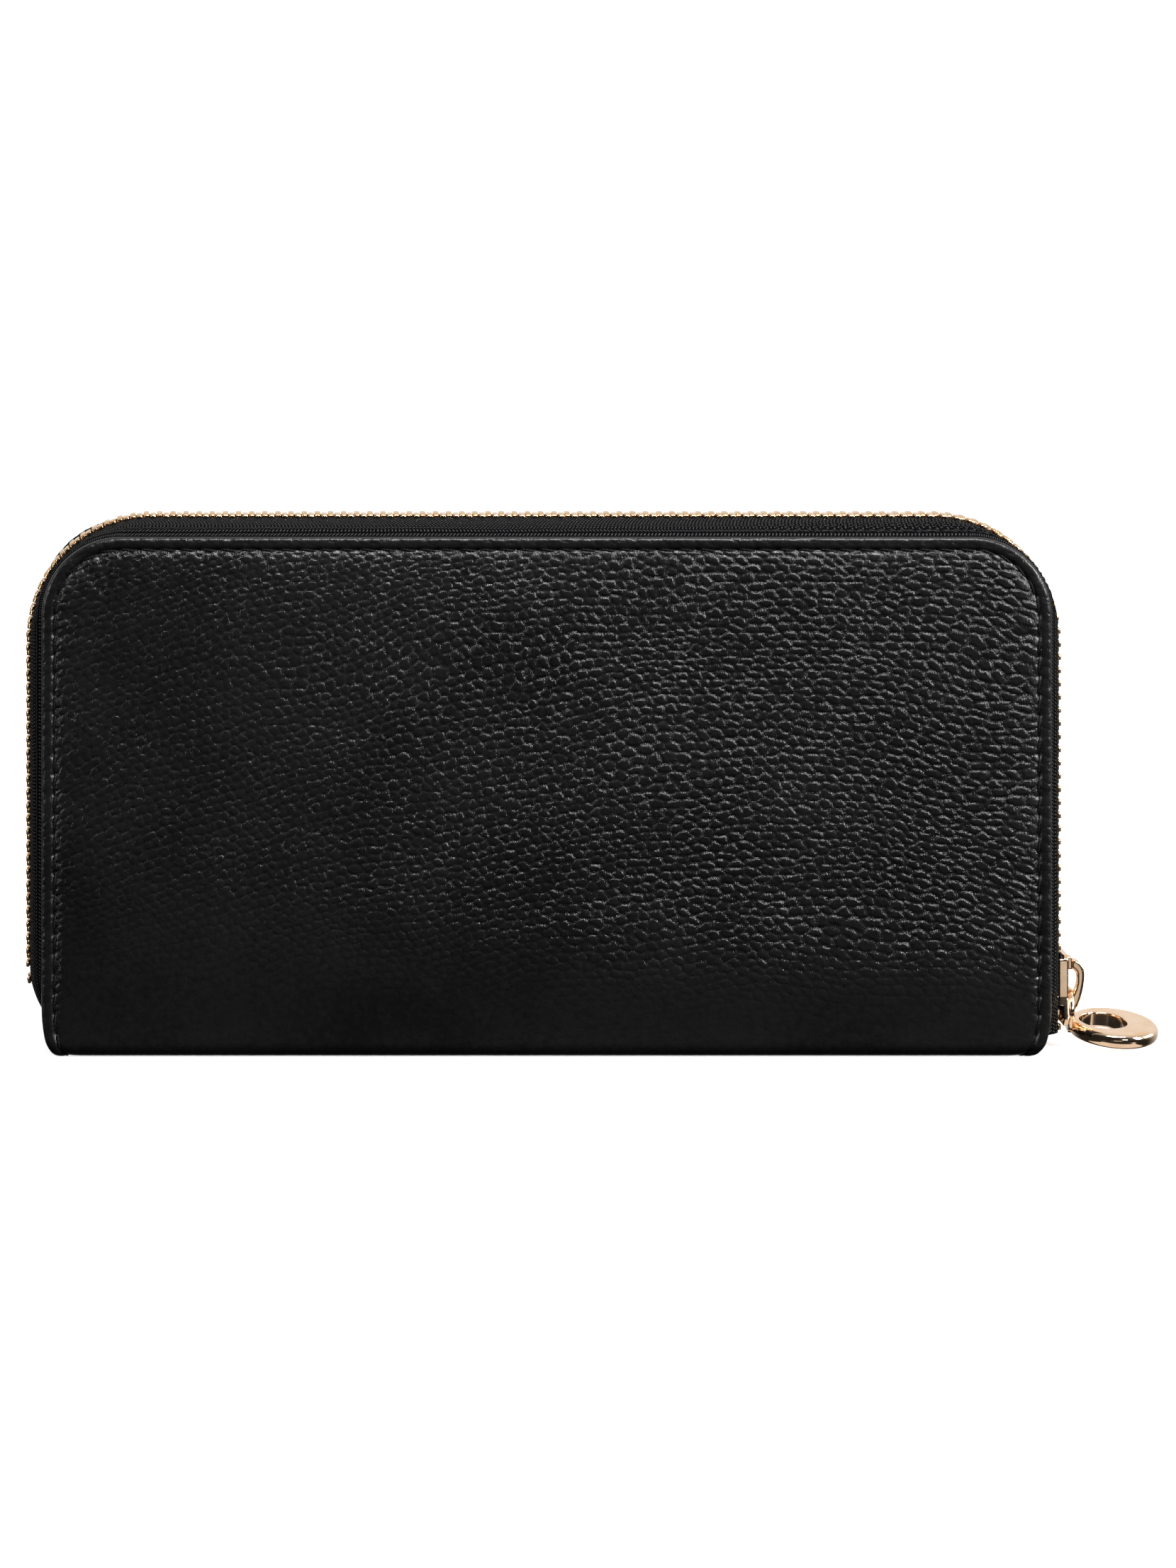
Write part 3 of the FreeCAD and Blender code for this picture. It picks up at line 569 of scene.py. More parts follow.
def seam_point(s):
    """A point on the stitch row, at distance s from the right foot's spine centre, and its outward normal."""
    side, arc = CORNER_Z - BEND_R, SEAM_R * math.pi / 2
    left = s > seam_length() / 2
    if left:
        s = seam_length() - s
    x, y, z, ny, nz = None, -FACE, 0.0, -1.0, 0.0
    if s < FLAT:
        y, ny, nz = -s, 0.0, -1.0
    elif s < FLAT + BEND:
        a = (s - FLAT) / BEND_R
        z = BEND_R * (1 - math.cos(a))
        y, ny, nz = -FLAT - BEND_R * math.sin(a), -math.sin(a), -math.cos(a)
    elif s < FLAT + BEND + side:
        z = BEND_R + s - FLAT - BEND
    elif s < FLAT + BEND + side + arc:
        a = (s - FLAT - BEND - side) / SEAM_R
        x, z = CORNER_X + SEAM_R * math.cos(a), CORNER_Z + SEAM_R * math.sin(a)
    else:
        x, z = CORNER_X - (s - FLAT - BEND - side - arc), TOP - STITCH_IN
    if x is None:
        x = float(half_width(z, not left)) - STITCH_IN
    return Vector((-x if left else x, y, z)), Vector((0, ny, nz))


def seam_length():
    return 2 * (FLAT + BEND + TOP - TOP_R - BEND_R + SEAM_R * math.pi / 2) + 2 * CORNER_X


def tube(path, normals, radius, sides=8, flat=1.0, taper=None):
    """A closed tube along a path, squeezed along its normals by flat: vertices, faces and UV in mm."""
    path = [Vector(p) for p in path]
    verts, uv, faces = [], [], []
    along = 0.0
    for i, p in enumerate(path):
        ahead = path[min(i + 1, len(path) - 1)] - path[max(i - 1, 0)]
        tangent = ahead.normalized()
        n = Vector(normals[i])
        n = (n - tangent * n.dot(tangent)).normalized()
        b = tangent.cross(n)
        if i:
            along += (p - path[i - 1]).length
        size = radius * (taper[i] if taper else 1.0)
        for k in range(sides):
            a = 2 * math.pi * k / sides
            verts.append(p + (b * math.cos(a) + n * math.sin(a) * flat) * size)
            uv.append((along / MM, k / sides))
    for i in range(len(path) - 1):
        for k in range(sides):
            k1 = (k + 1) % sides
            faces.append((i * sides + k, i * sides + k1, (i + 1) * sides + k1, (i + 1) * sides + k))
    faces.append(tuple(range(sides))[::-1])
    faces.append(tuple(range((len(path) - 1) * sides, len(path) * sides)))
    return verts, faces, uv


def join_parts(name, parts, material, flip_y=False):
    verts, faces, uv = [], [], []
    for v, f, t in parts:
        base = len(verts)
        verts += [tuple(p) for p in v]
        faces += [tuple(i + base for i in q) for q in f]
        uv += t
    verts = np.array(verts)
    if flip_y:
        verts = verts * np.array([1, -1, 1])
    return paint(new_mesh(name, verts, faces, uv=uv, flip=flip_y), material)


def stitches_along(curve, length, start, pitch, radius, dip, lift, slant=0.0):
    """Threads that rise out of one hole and dive into the next, each a little slanted across the row.

    curve(s) gives a point on the row and its normal.
    """
    parts = []
    share = 0.86
    s = start
    while s + pitch * share < length:
        path, normals, taper = [], [], []
        ahead = (curve(s + pitch * share)[0] - curve(s)[0]).normalized()
        for k in range(9):
            t = k / 8
            p, n = curve(s + pitch * share * t)
            arch = math.sin(math.pi * t) ** 0.45
            path.append(p + n * (lift - dip * (1 - arch)) + ahead.cross(n) * slant * (t - 0.5))
            normals.append(n)
            taper.append(0.75 + 0.25 * math.sin(math.pi * t))
        parts.append(tube(path, normals, radius, 7, 0.85, taper))
        s += pitch
    return parts


# ---- the main zip's tape ----


def zip_path(half_w, top, radius, foot, curl_r):
    """Stations up the right side, over the top and down the left, curling in at the left foot.

    Each run is (length, function from a share of it to x, z and the outward turn in degrees).
    """
    side = top - radius

    def turn_arc(cx, cz, r, t0, t1):
        def at(k):
            turn = lerp(t0, t1, k)
            a = math.radians(turn)
            return cx + r * math.sin(a), cz + r * math.cos(a), turn
        return math.radians(abs(t1 - t0)) * r, at

    return [
        (side - foot, lambda k: (half_w, lerp(foot, side, k), 90.0)),
        turn_arc(half_w - radius, side, radius, 90, 0),
        (2 * (half_w - radius), lambda k: (lerp(half_w - radius, radius - half_w, k), top, 0.0)),
        turn_arc(radius - half_w, side, radius, 0, -90),
        (side - CURL_Z, lambda k: (-half_w, lerp(side, CURL_Z, k), -90.0)),
        turn_arc(curl_r - half_w, CURL_Z, curl_r, -90, -90 - CURL_ANGLE),
    ]


TAPE_FOOT = 3.25 * MM
RIGHT_TUCK = 2.4 * MM
CHAIN_RUNS = zip_path(CHAIN_X, CHAIN_Z, CHAIN_R, TAPE_FOOT, CURL_R)
EDGE_RUNS = zip_path(HALF_W, TOP, TOP_R, TAPE_FOOT, CURL_R + HALF_W - CHAIN_X)

# The tape's section: distance from the middle plane in mm, share of the way from the edge to the chain,
# and rise in mm.
TAPE_SECTION = [(10.50, 0.0, -5.5), (10.50, 0.0, -2.0), (10.45, 0.0, -0.9), (10.30, 0.0, -0.2),
                (10.02, 0.06, 0.12), (9.66, 0.20, 0.20), (9.22, 0.40, 0.10), (8.70, 0.55, 0.04),
                (8.10, 0.66, 0.0), (7.40, 0.74, 0.0), (6.60, 0.81, 0.0), (5.80, 0.87, 0.0),
                (5.00, 0.92, 0.0), (4.30, 0.96, 0.0), (3.60, 0.985, 0.0), (2.80, 1.0, 0.0),
                (2.00, 1.0, 0.0), (1.30, 1.0, 0.0)]


def zip_tape(side, seed):
    """The woven tape of one side, from behind the leather's edge over to the teeth, with its gathers."""
    thick = 0.55 * MM
    stations = []
    s = 0.0
    for (c_len, c_at), (e_len, e_at) in zip(CHAIN_RUNS, EDGE_RUNS):
        steps = max(4, round(c_len / (0.42 * MM)))
        for k in range(0 if not stations else 1, steps + 1):
            stations.append((s + c_len * k / steps, c_at(k / steps), e_at(k / steps)))
        s += c_len
    section = np.array(TAPE_SECTION)
    fine = np.linspace(0, len(section) - 1, 2 * len(section) - 1)
    section = np.stack([np.interp(fine, np.arange(len(section)), section[:, j]) for j in range(3)], -1)
    count = len(section)
    y = -section[:, 0] * MM
    share, rise = section[:, 1], section[:, 2] * MM
    across = np.concatenate([[0], np.cumsum(np.hypot(np.diff(y), np.diff(rise)))]) / MM
    rings, uv = [], []
    for s, (px, pz, p_turn), (qx, qz, q_turn) in stations:
        turn = lerp(q_turn, p_turn, share)
        ox, oz = np.sin(np.radians(turn)), np.cos(np.radians(turn))
        x, z = lerp(qx, px, share), lerp(qz, pz, share)
        if px > 0:
            low = 1 - smoothstep(3 * MM, 13 * MM, z)
            x = x - RIGHT_TUCK * low * smoothstep(4.0, 7.5, section[:, 0])
        free = (1 - smoothstep(9.3, 10.3, section[:, 0])) * smoothstep(2.5, 5.5, section[:, 0])
        gather = noise.noise((s * 60, seed, 1.0)) * 0.10 + noise.noise((s * 420, seed, 2.0)) * 0.07
        ribs = math.sin(s / (0.27 * MM) + 3 * noise.noise((s * 120, seed, 5.0)))
        ribbed = float(smoothstep(30 * MM, 48 * MM, px)) if pz > 80 * MM else 0.0
        at_leather = smoothstep(5.0, 7.5, section[:, 0])
        lift = rise + free * MM * (gather + ribs * at_leather * (0.02 + 0.15 * ribbed))
        cx, cz = x + ox * lift, z + oz * lift
        # The under side is one thickness inside the section's own normal.
        ty = np.gradient(y)
        tn = np.gradient((cx - px) * ox + (cz - pz) * oz)
        size = np.hypot(ty, tn) + 1e-12
        n_y, n_o = -tn / size, ty / size
        flip = np.sign(n_o[-1])
        n_y, n_o = n_y * flip, n_o * flip
        middle = np.stack([cx, y, cz], -1)
        half_thick = np.stack([ox * n_o, n_y, oz * n_o], -1) * thick / 2
        rings.append(np.concatenate([middle + half_thick, (middle - half_thick)[::-1]]))
        uv.append(np.stack([np.full(2 * count, s / MM), np.concatenate([across, across[::-1]])], -1))
    rings = np.array(rings)
    verts = rings.reshape(-1, 3)
    faces = grid_faces(len(rings), 2 * count, wrap_cols=True).tolist()
    faces.append(list(range(2 * count))[::-1])
    faces.append(list(range((len(rings) - 1) * 2 * count, len(rings) * 2 * count)))
    if side > 0:
        verts = verts * np.array([1, -1, 1])
    return new_mesh(front_or_back(side) + "_tape", verts, faces, uv=np.array(uv).reshape(-1, 2),
                    flip=side < 0)


# ---- linings, pockets and gussets ----


def closed_sheet(name, surface, rows, cols, thick, flip=False):
    """A thin closed sheet. surface(i, j) gives a point, its normal and its UV, with i and j from 0 to 1."""
    top, low, uv = [], [], []
    for a in range(rows):
        for b in range(cols):
            p, n, t = surface(a / (rows - 1), b / (cols - 1))
            top.append(p)
            low.append((p[0] - n[0] * thick, p[1] - n[1] * thick, p[2] - n[2] * thick))
            uv.append(t)
    count = rows * cols
    faces = grid_faces(rows, cols).tolist()
    faces += [f[::-1] for f in grid_faces(rows, cols, start=count).tolist()]
    rim = [(0, c) for c in range(cols)] + [(r, cols - 1) for r in range(1, rows)]
    rim += [(rows - 1, c) for c in range(cols - 2, -1, -1)] + [(r, 0) for r in range(rows - 2, 0, -1)]
    ids = [r * cols + c for r, c in rim]
    for i, a in enumerate(ids):
        b = ids[(i + 1) % len(ids)]
        faces.append([b, a, a + count, b + count])
    return new_mesh(name, np.array(top + low), faces, uv=np.array(uv + uv), flip=flip)


def lining(side):
    """The cloth lining of one cover, from the spine's centre line up, with soft ripples."""
    inset, top_gap = 1.6 * MM, 1.4 * MM
    rows = sheet_rows(1.50 * MM, TOP - top_gap, 2.2 * MM)
    back = rows[:, :2]
    seed = 30 + side
    height = np.concatenate([[0], np.cumsum(np.hypot(np.diff(back[:, 0]), np.diff(back[:, 1])))])

    def at(i, j):
        k = min(i * (len(rows) - 1), len(rows) - 1)
        a = int(k)
        y, z, ny, nz = rows[a]
        half = float(half_width(z, True)) - inset - 2.4 * MM * float(smoothstep(14 * MM, 5 * MM, z))
        over = z - CORNER_Z
        if over > 0:
            r = TOP_R - top_gap
            half = min(half, CORNER_X + math.sqrt(max(0.0, r * r - over * over)))
        x = lerp(-half, half, j)
        ripple = 0.05 * MM * noise.noise((x * 60, z * 60, seed))
        # The lining shows its inner face, so the sheet's normal looks into the wallet.
        return ((x, y - ny * (0.45 * MM + ripple), z - nz * (0.45 * MM + ripple)), (0, -ny, -nz),
                (x / MM, height[a] / MM))

    piece = closed_sheet(front_or_back(side) + "_lining_cloth", at, len(rows), 61, 0.4 * MM)
    if side > 0:
        return turned_round(piece)
    piece.data.flip_normals()
    return piece


def card_pocket(side, row):
    """A strip of two leather card pockets: sewn at the ends, middle and foot, and rolled at its open top."""
    node = f"{front_or_back(side)}_card_pocket_{row}"
    lo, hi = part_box(node)
    y_out = -max(abs(lo.y), abs(hi.y)) + 0.28 * MM
    half, foot, top = hi.x, lo.z, hi.z
    room = 0.34 * MM

    def at(i, j):
        z, x = lerp(foot, top, i), lerp(-half, half, j)
        column = abs(math.sin(math.pi * (j * 2)))
        puff = column ** 0.35 * min(1.0, i * 7) ** 0.6
        rim = math.exp(-((top - z) / (0.9 * MM)) ** 2) * 0.07 * MM
        seam = -0.10 * MM * math.exp(-((top - z - 1.6 * MM) / (0.35 * MM)) ** 2)
        grain = 0.025 * MM * noise.noise((x * 900, z * 900, row))
        dip = 0.7 * MM * column * math.exp(-((abs(x) - half / 2) / (9 * MM)) ** 2)
        dip = dip * smoothstep(0.90, 1.0, i)
        y = y_out + room * puff * 0.5 + rim + seam + grain
        return (x, y + 0.12 * MM, z - float(dip)), (0, 1, 0), (x / MM, z / MM)

    piece = closed_sheet(node + "_leather", at, 64, 181, 0.40 * MM, flip=True)
    if side > 0:
        turned_round(piece).data.flip_normals()
    return piece, y_out, half, foot, top


SOFT_FOLD = 0.06  # the share of a gusset's leaf over which its crease is rounded


def gusset_size(name):
    """A side's gussets: their foot and top, the reach of their inner and outer leaves, and where they start
    and end from the middle plane."""
    lo_in, hi_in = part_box(name + "_gusset_inner_leaves")
    lo_out, hi_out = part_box(name + "_gusset_outer_leaves")
    near, far = min(abs(lo_in.y), abs(hi_in.y)), max(abs(lo_out.y), abs(hi_out.y))
    return lo_in.z, hi_in.z, hi_in.x, hi_out.x, near, far


def gusset(side, end):
    """A folded gusset: from the coin pocket's end in to its crease and back out to the cover."""
    name = front_or_back(side)
    foot, top, reach_in, reach_out, near, far = gusset_size(name)

    def at(i, j):
        z = lerp(foot, top, i)
        deep = lerp(9 * MM, 31 * MM, i)
        fold = abs(2 * j - 1)
        crease = 1 - fold if fold >= SOFT_FOLD else 1 - SOFT_FOLD * (0.5 + 0.5 * (fold / SOFT_FOLD) ** 2)
        x = lerp(reach_in - 1 * MM, reach_out - 1 * MM, j) - deep * crease
        wave = 0.10 * MM * noise.noise((x * 80, z * 60, 3.0 + end))
        y = lerp(near + 0.05 * MM, far - 0.05 * MM, j) + wave * math.sin(math.pi * j)
        return (end * x, side * y, z), (0, side, 0), (deep * j * 2 / MM, z / MM)

    return closed_sheet(f"{name}_gusset_{'right' if end > 0 else 'left'}", at, 41, 61, 0.25 * MM,
                        flip=(side * end) < 0)


def coin_wall(side):
    """One leather wall of the coin pocket, lightly padded, with a sewn border."""
    node = f"coin_pocket_{front_or_back(side)}_wall"
    lo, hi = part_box(node)
    y_out, half, foot, top = max(abs(lo.y), abs(hi.y)), hi.x, lo.z, hi.z
    r = 5 * MM

    def at(i, j):
        z = lerp(foot, top, i)
        over = z - (top - r)
        w = half - (r - math.sqrt(max(0.0, r * r - over * over)) if over > 0 else 0.0)
        x = lerp(-w, w, j)
        e = min(w - abs(x), top - z, z - foot)
        seam = -0.14 * MM * math.exp(-((e - 2 * MM) / (0.35 * MM)) ** 2)
        puff = 0.12 * MM * (1 - math.exp(-max(0.0, e - 2 * MM) / (7 * MM)))
        edge = -0.25 * MM * math.exp(-e / (0.35 * MM))
        grain = 0.03 * MM * noise.noise((x * 800, z * 800, 5 + side))
        y = side * (y_out - 0.12 * MM + seam + puff + edge + grain)
        return (x, y, z), (0, side, 0), (x / MM, z / MM)

    return closed_sheet(node + "_leather", at, 90, 201, 0.5 * MM, flip=side < 0), y_out, half, foot, top


def coin_tape(side):
    """The coin zip's tape: up inside the wall, over its edge, and flat to the teeth."""
    name = front_or_back(side)
    lo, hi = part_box(f"coin_zip_{name}_tape")
    chain_z = hi.z - 0.175 * MM
    y_wall = max(abs(lo.y), abs(hi.y)) - 0.2 * MM
    half = hi.x
    line = [(y_wall, lo.z), (y_wall, chain_z - 4 * MM), (y_wall - 0.02 * MM, chain_z - 1.6 * MM),
            (y_wall - 0.25 * MM, chain_z - 0.6 * MM), (y_wall - 0.75 * MM, chain_z - 0.08 * MM),
            (y_wall - 1.3 * MM, chain_z), (1.9 * MM, chain_z), (1.05 * MM, chain_z)]
    steps = np.linspace(0, len(line) - 1, 22)
    ys = np.interp(steps, range(len(line)), [p[0] for p in line])
    zs = np.interp(steps, range(len(line)), [p[1] for p in line])
    run = np.concatenate([[0], np.cumsum(np.hypot(np.diff(ys), np.diff(zs)))])

    def at(i, j):
        k = round(i * 21)
        a, b = max(k - 1, 0), min(k + 1, 21)
        dy, dz = ys[b] - ys[a], zs[b] - zs[a]
        size = math.hypot(dy, dz)
        n = (0, side * dz / size, -dy / size)
        x = lerp(-half, half, j)
        return (x, side * ys[k] + n[1] * 0.15 * MM, zs[k] + n[2] * 0.15 * MM), n, (x / MM, run[k] / MM)

    return closed_sheet(f"coin_zip_{name}_tape_weave", at, 22, 261, 0.3 * MM, flip=side < 0)


def coin_pouch():
    """The thin cloth bag inside the coin pocket, open at the top."""
    lo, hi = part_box("coin_pocket_lining")
    t = 0.2 * MM
    rings, uv = [], []
    levels = [(hi.z, 1.0), (lo.z + 3 * MM, 1.0), (lo.z + 1 * MM, 0.92), (lo.z + 0.2 * MM, 0.6), (lo.z, 0.15)]
    levels += [(lo.z + t, 0.15), (lo.z + 0.2 * MM + t, 0.55), (lo.z + 1 * MM + t, 0.86)]
    levels += [(lo.z + 3 * MM, 0.94), (hi.z, 0.94)]
    around = 160
    for k, (z, squeeze) in enumerate(levels):
        ring = []
        for i in range(around):
            a = 2 * math.pi * i / around
            ca, sa = math.cos(a), math.sin(a)
            grow = -t if k >= 5 else 0
            x = (hi.x + grow) * math.copysign(abs(ca) ** 0.12, ca) * (1 - 0.02 * (1 - squeeze))
            y = (hi.y + grow) * squeeze * math.copysign(abs(sa) ** 0.35, sa)
            ripple = 1 + 0.03 * noise.noise((x * 90, z * 90, 8.0))
            ring.append((x, y * ripple * 0.95, z))
            uv.append((i * 2.1, z / MM))
        rings += ring
    faces = grid_faces(len(levels), around, wrap_cols=True).tolist()
    first, last = list(range(around)), list(range((len(levels) - 1) * around, len(levels) * around))
    for i in range(around):
        j = (i + 1) % around
        faces.append([first[j], first[i], last[i], last[j]])
    return new_mesh("coin_pouch", np.array(rings), faces, uv=uv)


def straight_stitches(x0, x1, z0, z1, y):
    """A straight row of stitches on an inside panel that faces along +Y."""
    a, b = Vector((x0, y, z0)), Vector((x1, y, z1))
    length = (b - a).length
    n = Vector((0, 1, 0))
    pitch = 3.0 * MM
    return stitches_along(lambda s: (a + (b - a) * (s / length), n), length, 0.4 * pitch, pitch, 0.16 * MM,
                          dip=0.2 * MM, lift=0.02 * MM)


# ---- build the wallet ----


OUTER = leather("tumbled_leather")
INNER = leather("smooth_inner_leather", shade=0.010, rough=0.40, pebbled=False)
TAPE = woven("herringbone_tape")
COIN_TAPE = woven("coin_zip_tape", along=0.6, row=0.42, lift=0.7)
LINING = cloth("lining_weave")
POUCH = cloth("coin_pouch_weave", colour=(0.035, 0.035, 0.038), pitch=0.3)
THREAD = thread("waxed_thread")
TOOTH_GOLD = gold("tooth_gold", tint=(0.80, 0.56, 0.33), rough=0.17, scratch=0.8)
PULL_GOLD = gold("pale_gold", tint=(0.95, 0.71, 0.51), rough=0.085, scratch=0.6)
SLIDER_GOLD = gold("slider_gold", tint=(0.93, 0.71, 0.52), rough=0.12, scratch=0.6)
COIN_GOLD = gold("coin_zip_gold", tint=(0.78, 0.57, 0.34), rough=0.2, scratch=1.0)


def settle(piece, slot, follows, *nodes):
    """Fixes a piece to a body when follows names one, and otherwise bakes its place into its mesh; either way
    it hides the CAD nodes it stands in for.
    """
    if isinstance(follows, str):
        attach(piece, follows)
    else:
        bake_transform(piece)
    if nodes:
        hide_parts(*nodes)


for side, name in ((-1, "front"), (1, "back")):
    cover_body = name + "_cover"
    # Leather, lining and thread pass from the spine to the cover between these two points.
    bend = (cover_body, (0, side * (FACE - 2.0 * MM), 0.8 * MM), (0, side * FACE, 6.2 * MM))

    hide = paint(cover_leather(side, 1.0 if side < 0 else 5.0), OUTER)
    settle(hide, "cover_leather", bend, name + "_cover_leather", name + "_stiffener_board", "spine_leather")

    seam = stitches_along(seam_point, seam_length(), STITCH_START, STITCH_PITCH, 0.23 * MM,
                          dip=0.5 * MM, lift=-0.14 * MM, slant=0.45 * MM)
    threads = join_parts(name + "_edge_thread", seam, THREAD, flip_y=side > 0)
    settle(threads, "thread", bend, name + "_edge_stitching")

    settle(paint(zip_tape(side, 2.0 + side), TAPE), "zip_tape", cover_body, name + "_zip_tape")
    settle(paint(lining(side), LINING), "lining_cloth", bend, name + "_lining", "spine_lining")

    pocket_threads = []
    for row in range(1, 5):
        pocket, y_out, half, foot, top = card_pocket(side, row)
        settle(paint(pocket, INNER), "inner_leather", cover_body, f"{name}_card_pocket_{row}")
        rolled = top - 1.6 * MM
        sewn = half - 2 * MM
        pocket_threads += straight_stitches(-sewn, sewn, rolled, rolled, y_out + 0.30 * MM)
        for x in (1 * MM - half, 0.0, half - 1 * MM):
            pocket_threads += straight_stitches(x, x, foot + 1 * MM, top - 2 * MM, y_out + 0.12 * MM)
    rows_thread = join_parts(name + "_pocket_thread", pocket_threads, THREAD, flip_y=side > 0)
    settle(rows_thread, "thread", cover_body)

    for end in (-1, 1):
        near, far = gusset_size(name)[4:]
        settle(paint(gusset(side, end), INNER), "inner_leather",
               (cover_body, (0, side * near, 0), (0, side * far, 0)),
               name + "_gusset_inner_leaves", name + "_gusset_outer_leaves")

    wall, y_out, half, foot, top = coin_wall(side)
    settle(paint(wall, INNER), "inner_leather", "spine", f"coin_pocket_{name}_wall")
    sunk = y_out - 0.2 * MM
    border = []
    for z in (top - 2 * MM, foot + 2 * MM):
        border += straight_stitches(4 * MM - half, half - 4 * MM, z, z, sunk)
    for x in (2 * MM - half, half - 2 * MM):
        border += straight_stitches(x, x, foot + 3 * MM, top - 6 * MM, sunk)
    wall_thread = join_parts(f"coin_pocket_{name}_thread", border, THREAD, flip_y=side < 0)
    settle(wall_thread, "thread", "spine")
    settle(paint(coin_tape(side), COIN_TAPE), "zip_tape", "spine", f"coin_zip_{name}_tape")

settle(paint(coin_pouch(), POUCH), "lining_cloth", "spine", "coin_pocket_lining")


def carry(node, material, bevel_mm=0.0):
    """A CAD part that keeps its shape and gets a real finish, with softened edges if bevel_mm says so."""
    part = paint(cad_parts[node], material)
    METAL.objects.link(part)
    part.data.polygons.foreach_set("use_smooth", [True] * len(part.data.polygons))
    if bevel_mm:
        bevel = part.modifiers.new("soft_edges", "BEVEL")
        bevel.width = bevel_mm * MM
        bevel.segments = 2
        bevel.limit_method = "ANGLE"
        bevel.angle_limit = math.radians(35)
        bevel.harden_normals = True
    return part


def cast(node, material, voxel, rounds):
    """A cast CAD part: modifiers round its edges all over, as tumbling does. voxel is in millimetres."""
    part = carry(node, material)
    skin = part.modifiers.new("one_skin", "REMESH")
    skin.mode = "VOXEL"
    skin.voxel_size = voxel * MM
    skin.use_smooth_shade = True
    rounded = part.modifiers.new("rounded", "SMOOTH")
    rounded.factor = 0.5
    rounded.iterations = rounds


METAL = bpy.data.collections.new("metal_parts")
bpy.context.scene.collection.children.link(METAL)

for node in ("front_zip_teeth", "back_zip_teeth", "front_zip_stops", "back_zip_stops"):
    cast(node, TOOTH_GOLD, 0.17, 5)
for node in ("coin_zip_front_teeth", "coin_zip_back_teeth", "coin_zip_stops"):
    carry(node, COIN_GOLD, 0.12)
for node in ("coin_slider_body", "coin_slider_bridge", "coin_pull_tab"):
    cast(node, COIN_GOLD, 0.12, 4)
cast("slider_body", SLIDER_GOLD, 0.14, 10)
cast("slider_bridge", SLIDER_GOLD, 0.14, 26)
carry("puller", PULL_GOLD)


# ---- studio ----


def area_light(name, where, aim, size, power, colour=(1, 1, 1)):
    data = bpy.data.lights.new(name, "AREA")
    data.shape = "RECTANGLE"
    data.size, data.size_y = size
    data.energy = power
    data.color = colour
    lamp = bpy.data.objects.new(name, data)
    bpy.context.scene.collection.objects.link(lamp)
    lamp.location = where
    lamp.rotation_euler = (Vector(aim) - Vector(where)).to_track_quat("-Z", "Y").to_euler()
    return lamp


def floor_material():
    """A white sweep to the camera, and a grey one to the leather, so that it keeps its depth."""
    n = Nodes("pale_sweep")
    colour = n.mix(n.noise(5.0, 2.0), rgb(0.90, 0.90, 0.90), rgb(0.93, 0.93, 0.93))
    white = n.principled(Base_Color=colour, Roughness=0.9, Specular_IOR_Level=0.1,
                         Emission_Color=rgb(1, 1, 1), Emission_Strength=0.72)
    return n.camera_only(white, n.node("BsdfDiffuse", {"Color": rgb(0.07, 0.068, 0.066)}))


FLOOR = 30.0
corners = [(-FLOOR, -FLOOR, 0), (FLOOR, -FLOOR, 0), (FLOOR, FLOOR, 0), (-FLOOR, FLOOR, 0)]
floor = paint(new_mesh("floor", corners, [(0, 1, 2, 3)]), floor_material())
floor.location.z = -0.02 * MM
floor.visible_glossy = False
floor.visible_shadow = False

# The room: white to the camera; to the wallet it is light above and behind, and dim in front.
room = Nodes("studio", bpy.data.worlds, "World")
bpy.context.scene.world = room.owner
BRIGHTEST = (0.10, 0.74, 0.66)
lean = room.node("VectorMath", {0: room.place("Generated"), 1: BRIGHTEST}, out=1, operation="DOT_PRODUCT")
glow = room.ramp(lean, -0.15, 0.9, 0.02, 0.9)
room.camera_only(room.node("Background", {"Color": rgb(1, 1, 1), "Strength": 1.0}),
                 room.node("Background", {"Color": rgb(1.0, 0.985, 0.97), "Strength": glow}))

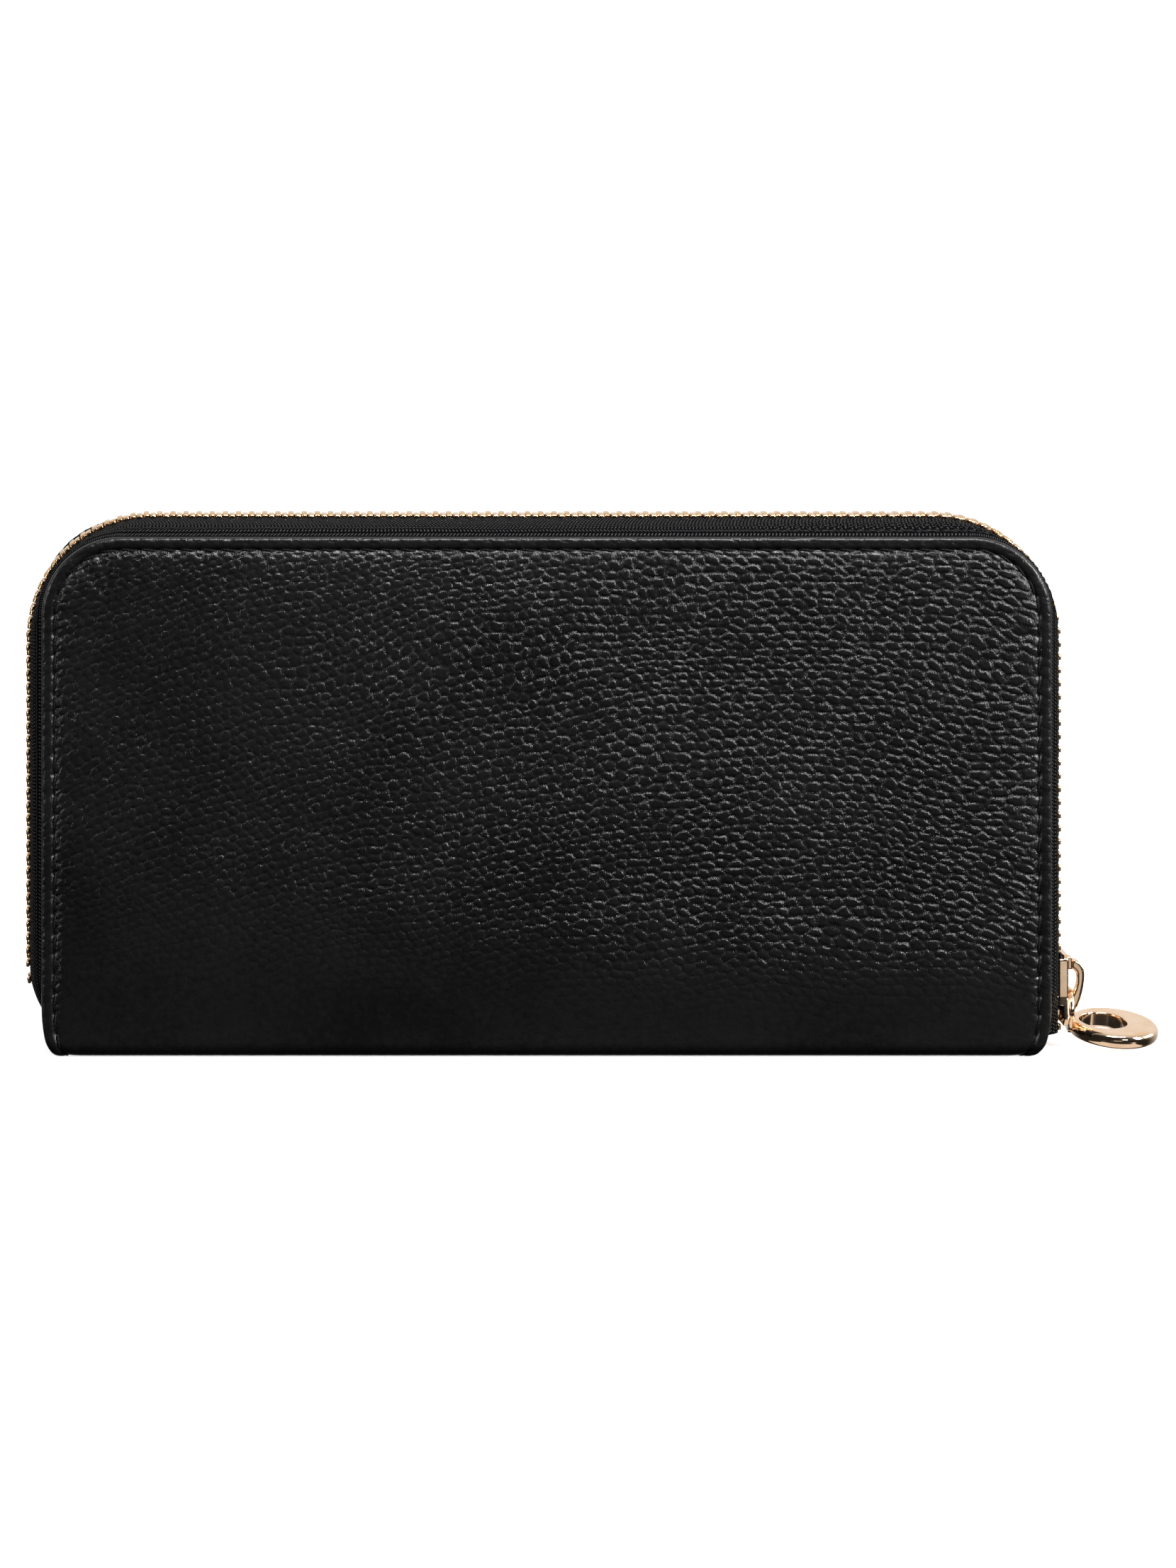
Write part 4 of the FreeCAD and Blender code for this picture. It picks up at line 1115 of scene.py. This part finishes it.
# Each light: where it stands, what it looks at and its size, in metres, and its power in watts.
area_light("key_top", (0.18, -0.52, 0.82), (0.04, 0, 0.05), (0.56, 0.12), 12.0)
area_light("side_left", (-0.88, -0.42, 0.25), (-0.05, 0, 0.05), (0.12, 0.5), 3.0)
area_light("side_right", (0.88, -0.42, 0.42), (0.04, 0, 0.05), (0.14, 0.5), 15.0)

# White cards that only the metal sees, so that the gold stays pale while the leather stays black.
for name, where, size, power in (("card_spot", (0.45, -0.80, 0.22), (0.14, 0.14), 0.9),
                                 ("card_right", (0.95, 0.10, 0.30), (0.5, 0.3), 2.4),
                                 ("card_front", (0.16, -0.80, -0.14), (0.30, 0.09), 0.065),
                                 ("card_below", (0.12, -0.15, -0.40), (0.9, 0.7), 1.6)):
    card = area_light(name, where, (0.10, 0, 0.01), size, power, (1.0, 0.95, 0.90))
    card.light_linking.receiver_collection = METAL

# The camera stands to the left and above. Its film is square to the wallet's face, and its lens is shifted.
CAMERA_AZ, CAMERA_EL = math.radians(-4.0), math.radians(9.5)
CAMERA_FAR, PICTURE_W, FILM = 1.0, 0.2209, 36.0  # in metres, but the film in millimetres
target = Vector((7.75 * MM, -FACE, 51.6 * MM))
camera_data = bpy.data.cameras.new("camera")
camera = bpy.data.objects.new("camera", camera_data)
bpy.context.scene.collection.objects.link(camera)
bpy.context.scene.camera = camera
camera.location = target + Vector((math.tan(CAMERA_AZ), -1.0, math.tan(CAMERA_EL))) * CAMERA_FAR
camera.rotation_euler = (math.pi / 2, 0, 0)
camera_data.sensor_fit = "HORIZONTAL"
camera_data.sensor_width = FILM
camera_data.lens = FILM * CAMERA_FAR / PICTURE_W
camera_data.clip_start = 0.01
# The shift applies only while the camera stands there, so that other views stay centred.
for field, shift in (("shift_x", -math.tan(CAMERA_AZ)), ("shift_y", -math.tan(CAMERA_EL))):
    driver = camera_data.driver_add(field).driver
    where = driver.variables.new()
    where.name = "depth"
    where.type = "TRANSFORMS"
    where.targets[0].id = camera
    where.targets[0].transform_type = "LOC_Y"
    amount = f"{shift * CAMERA_FAR / PICTURE_W:.5f}"
    driver.expression = f"{amount} if abs(depth - {camera.location.y:.6f}) < 0.00001 else 0"
bpy.context.scene.view_settings.view_transform = "Standard"
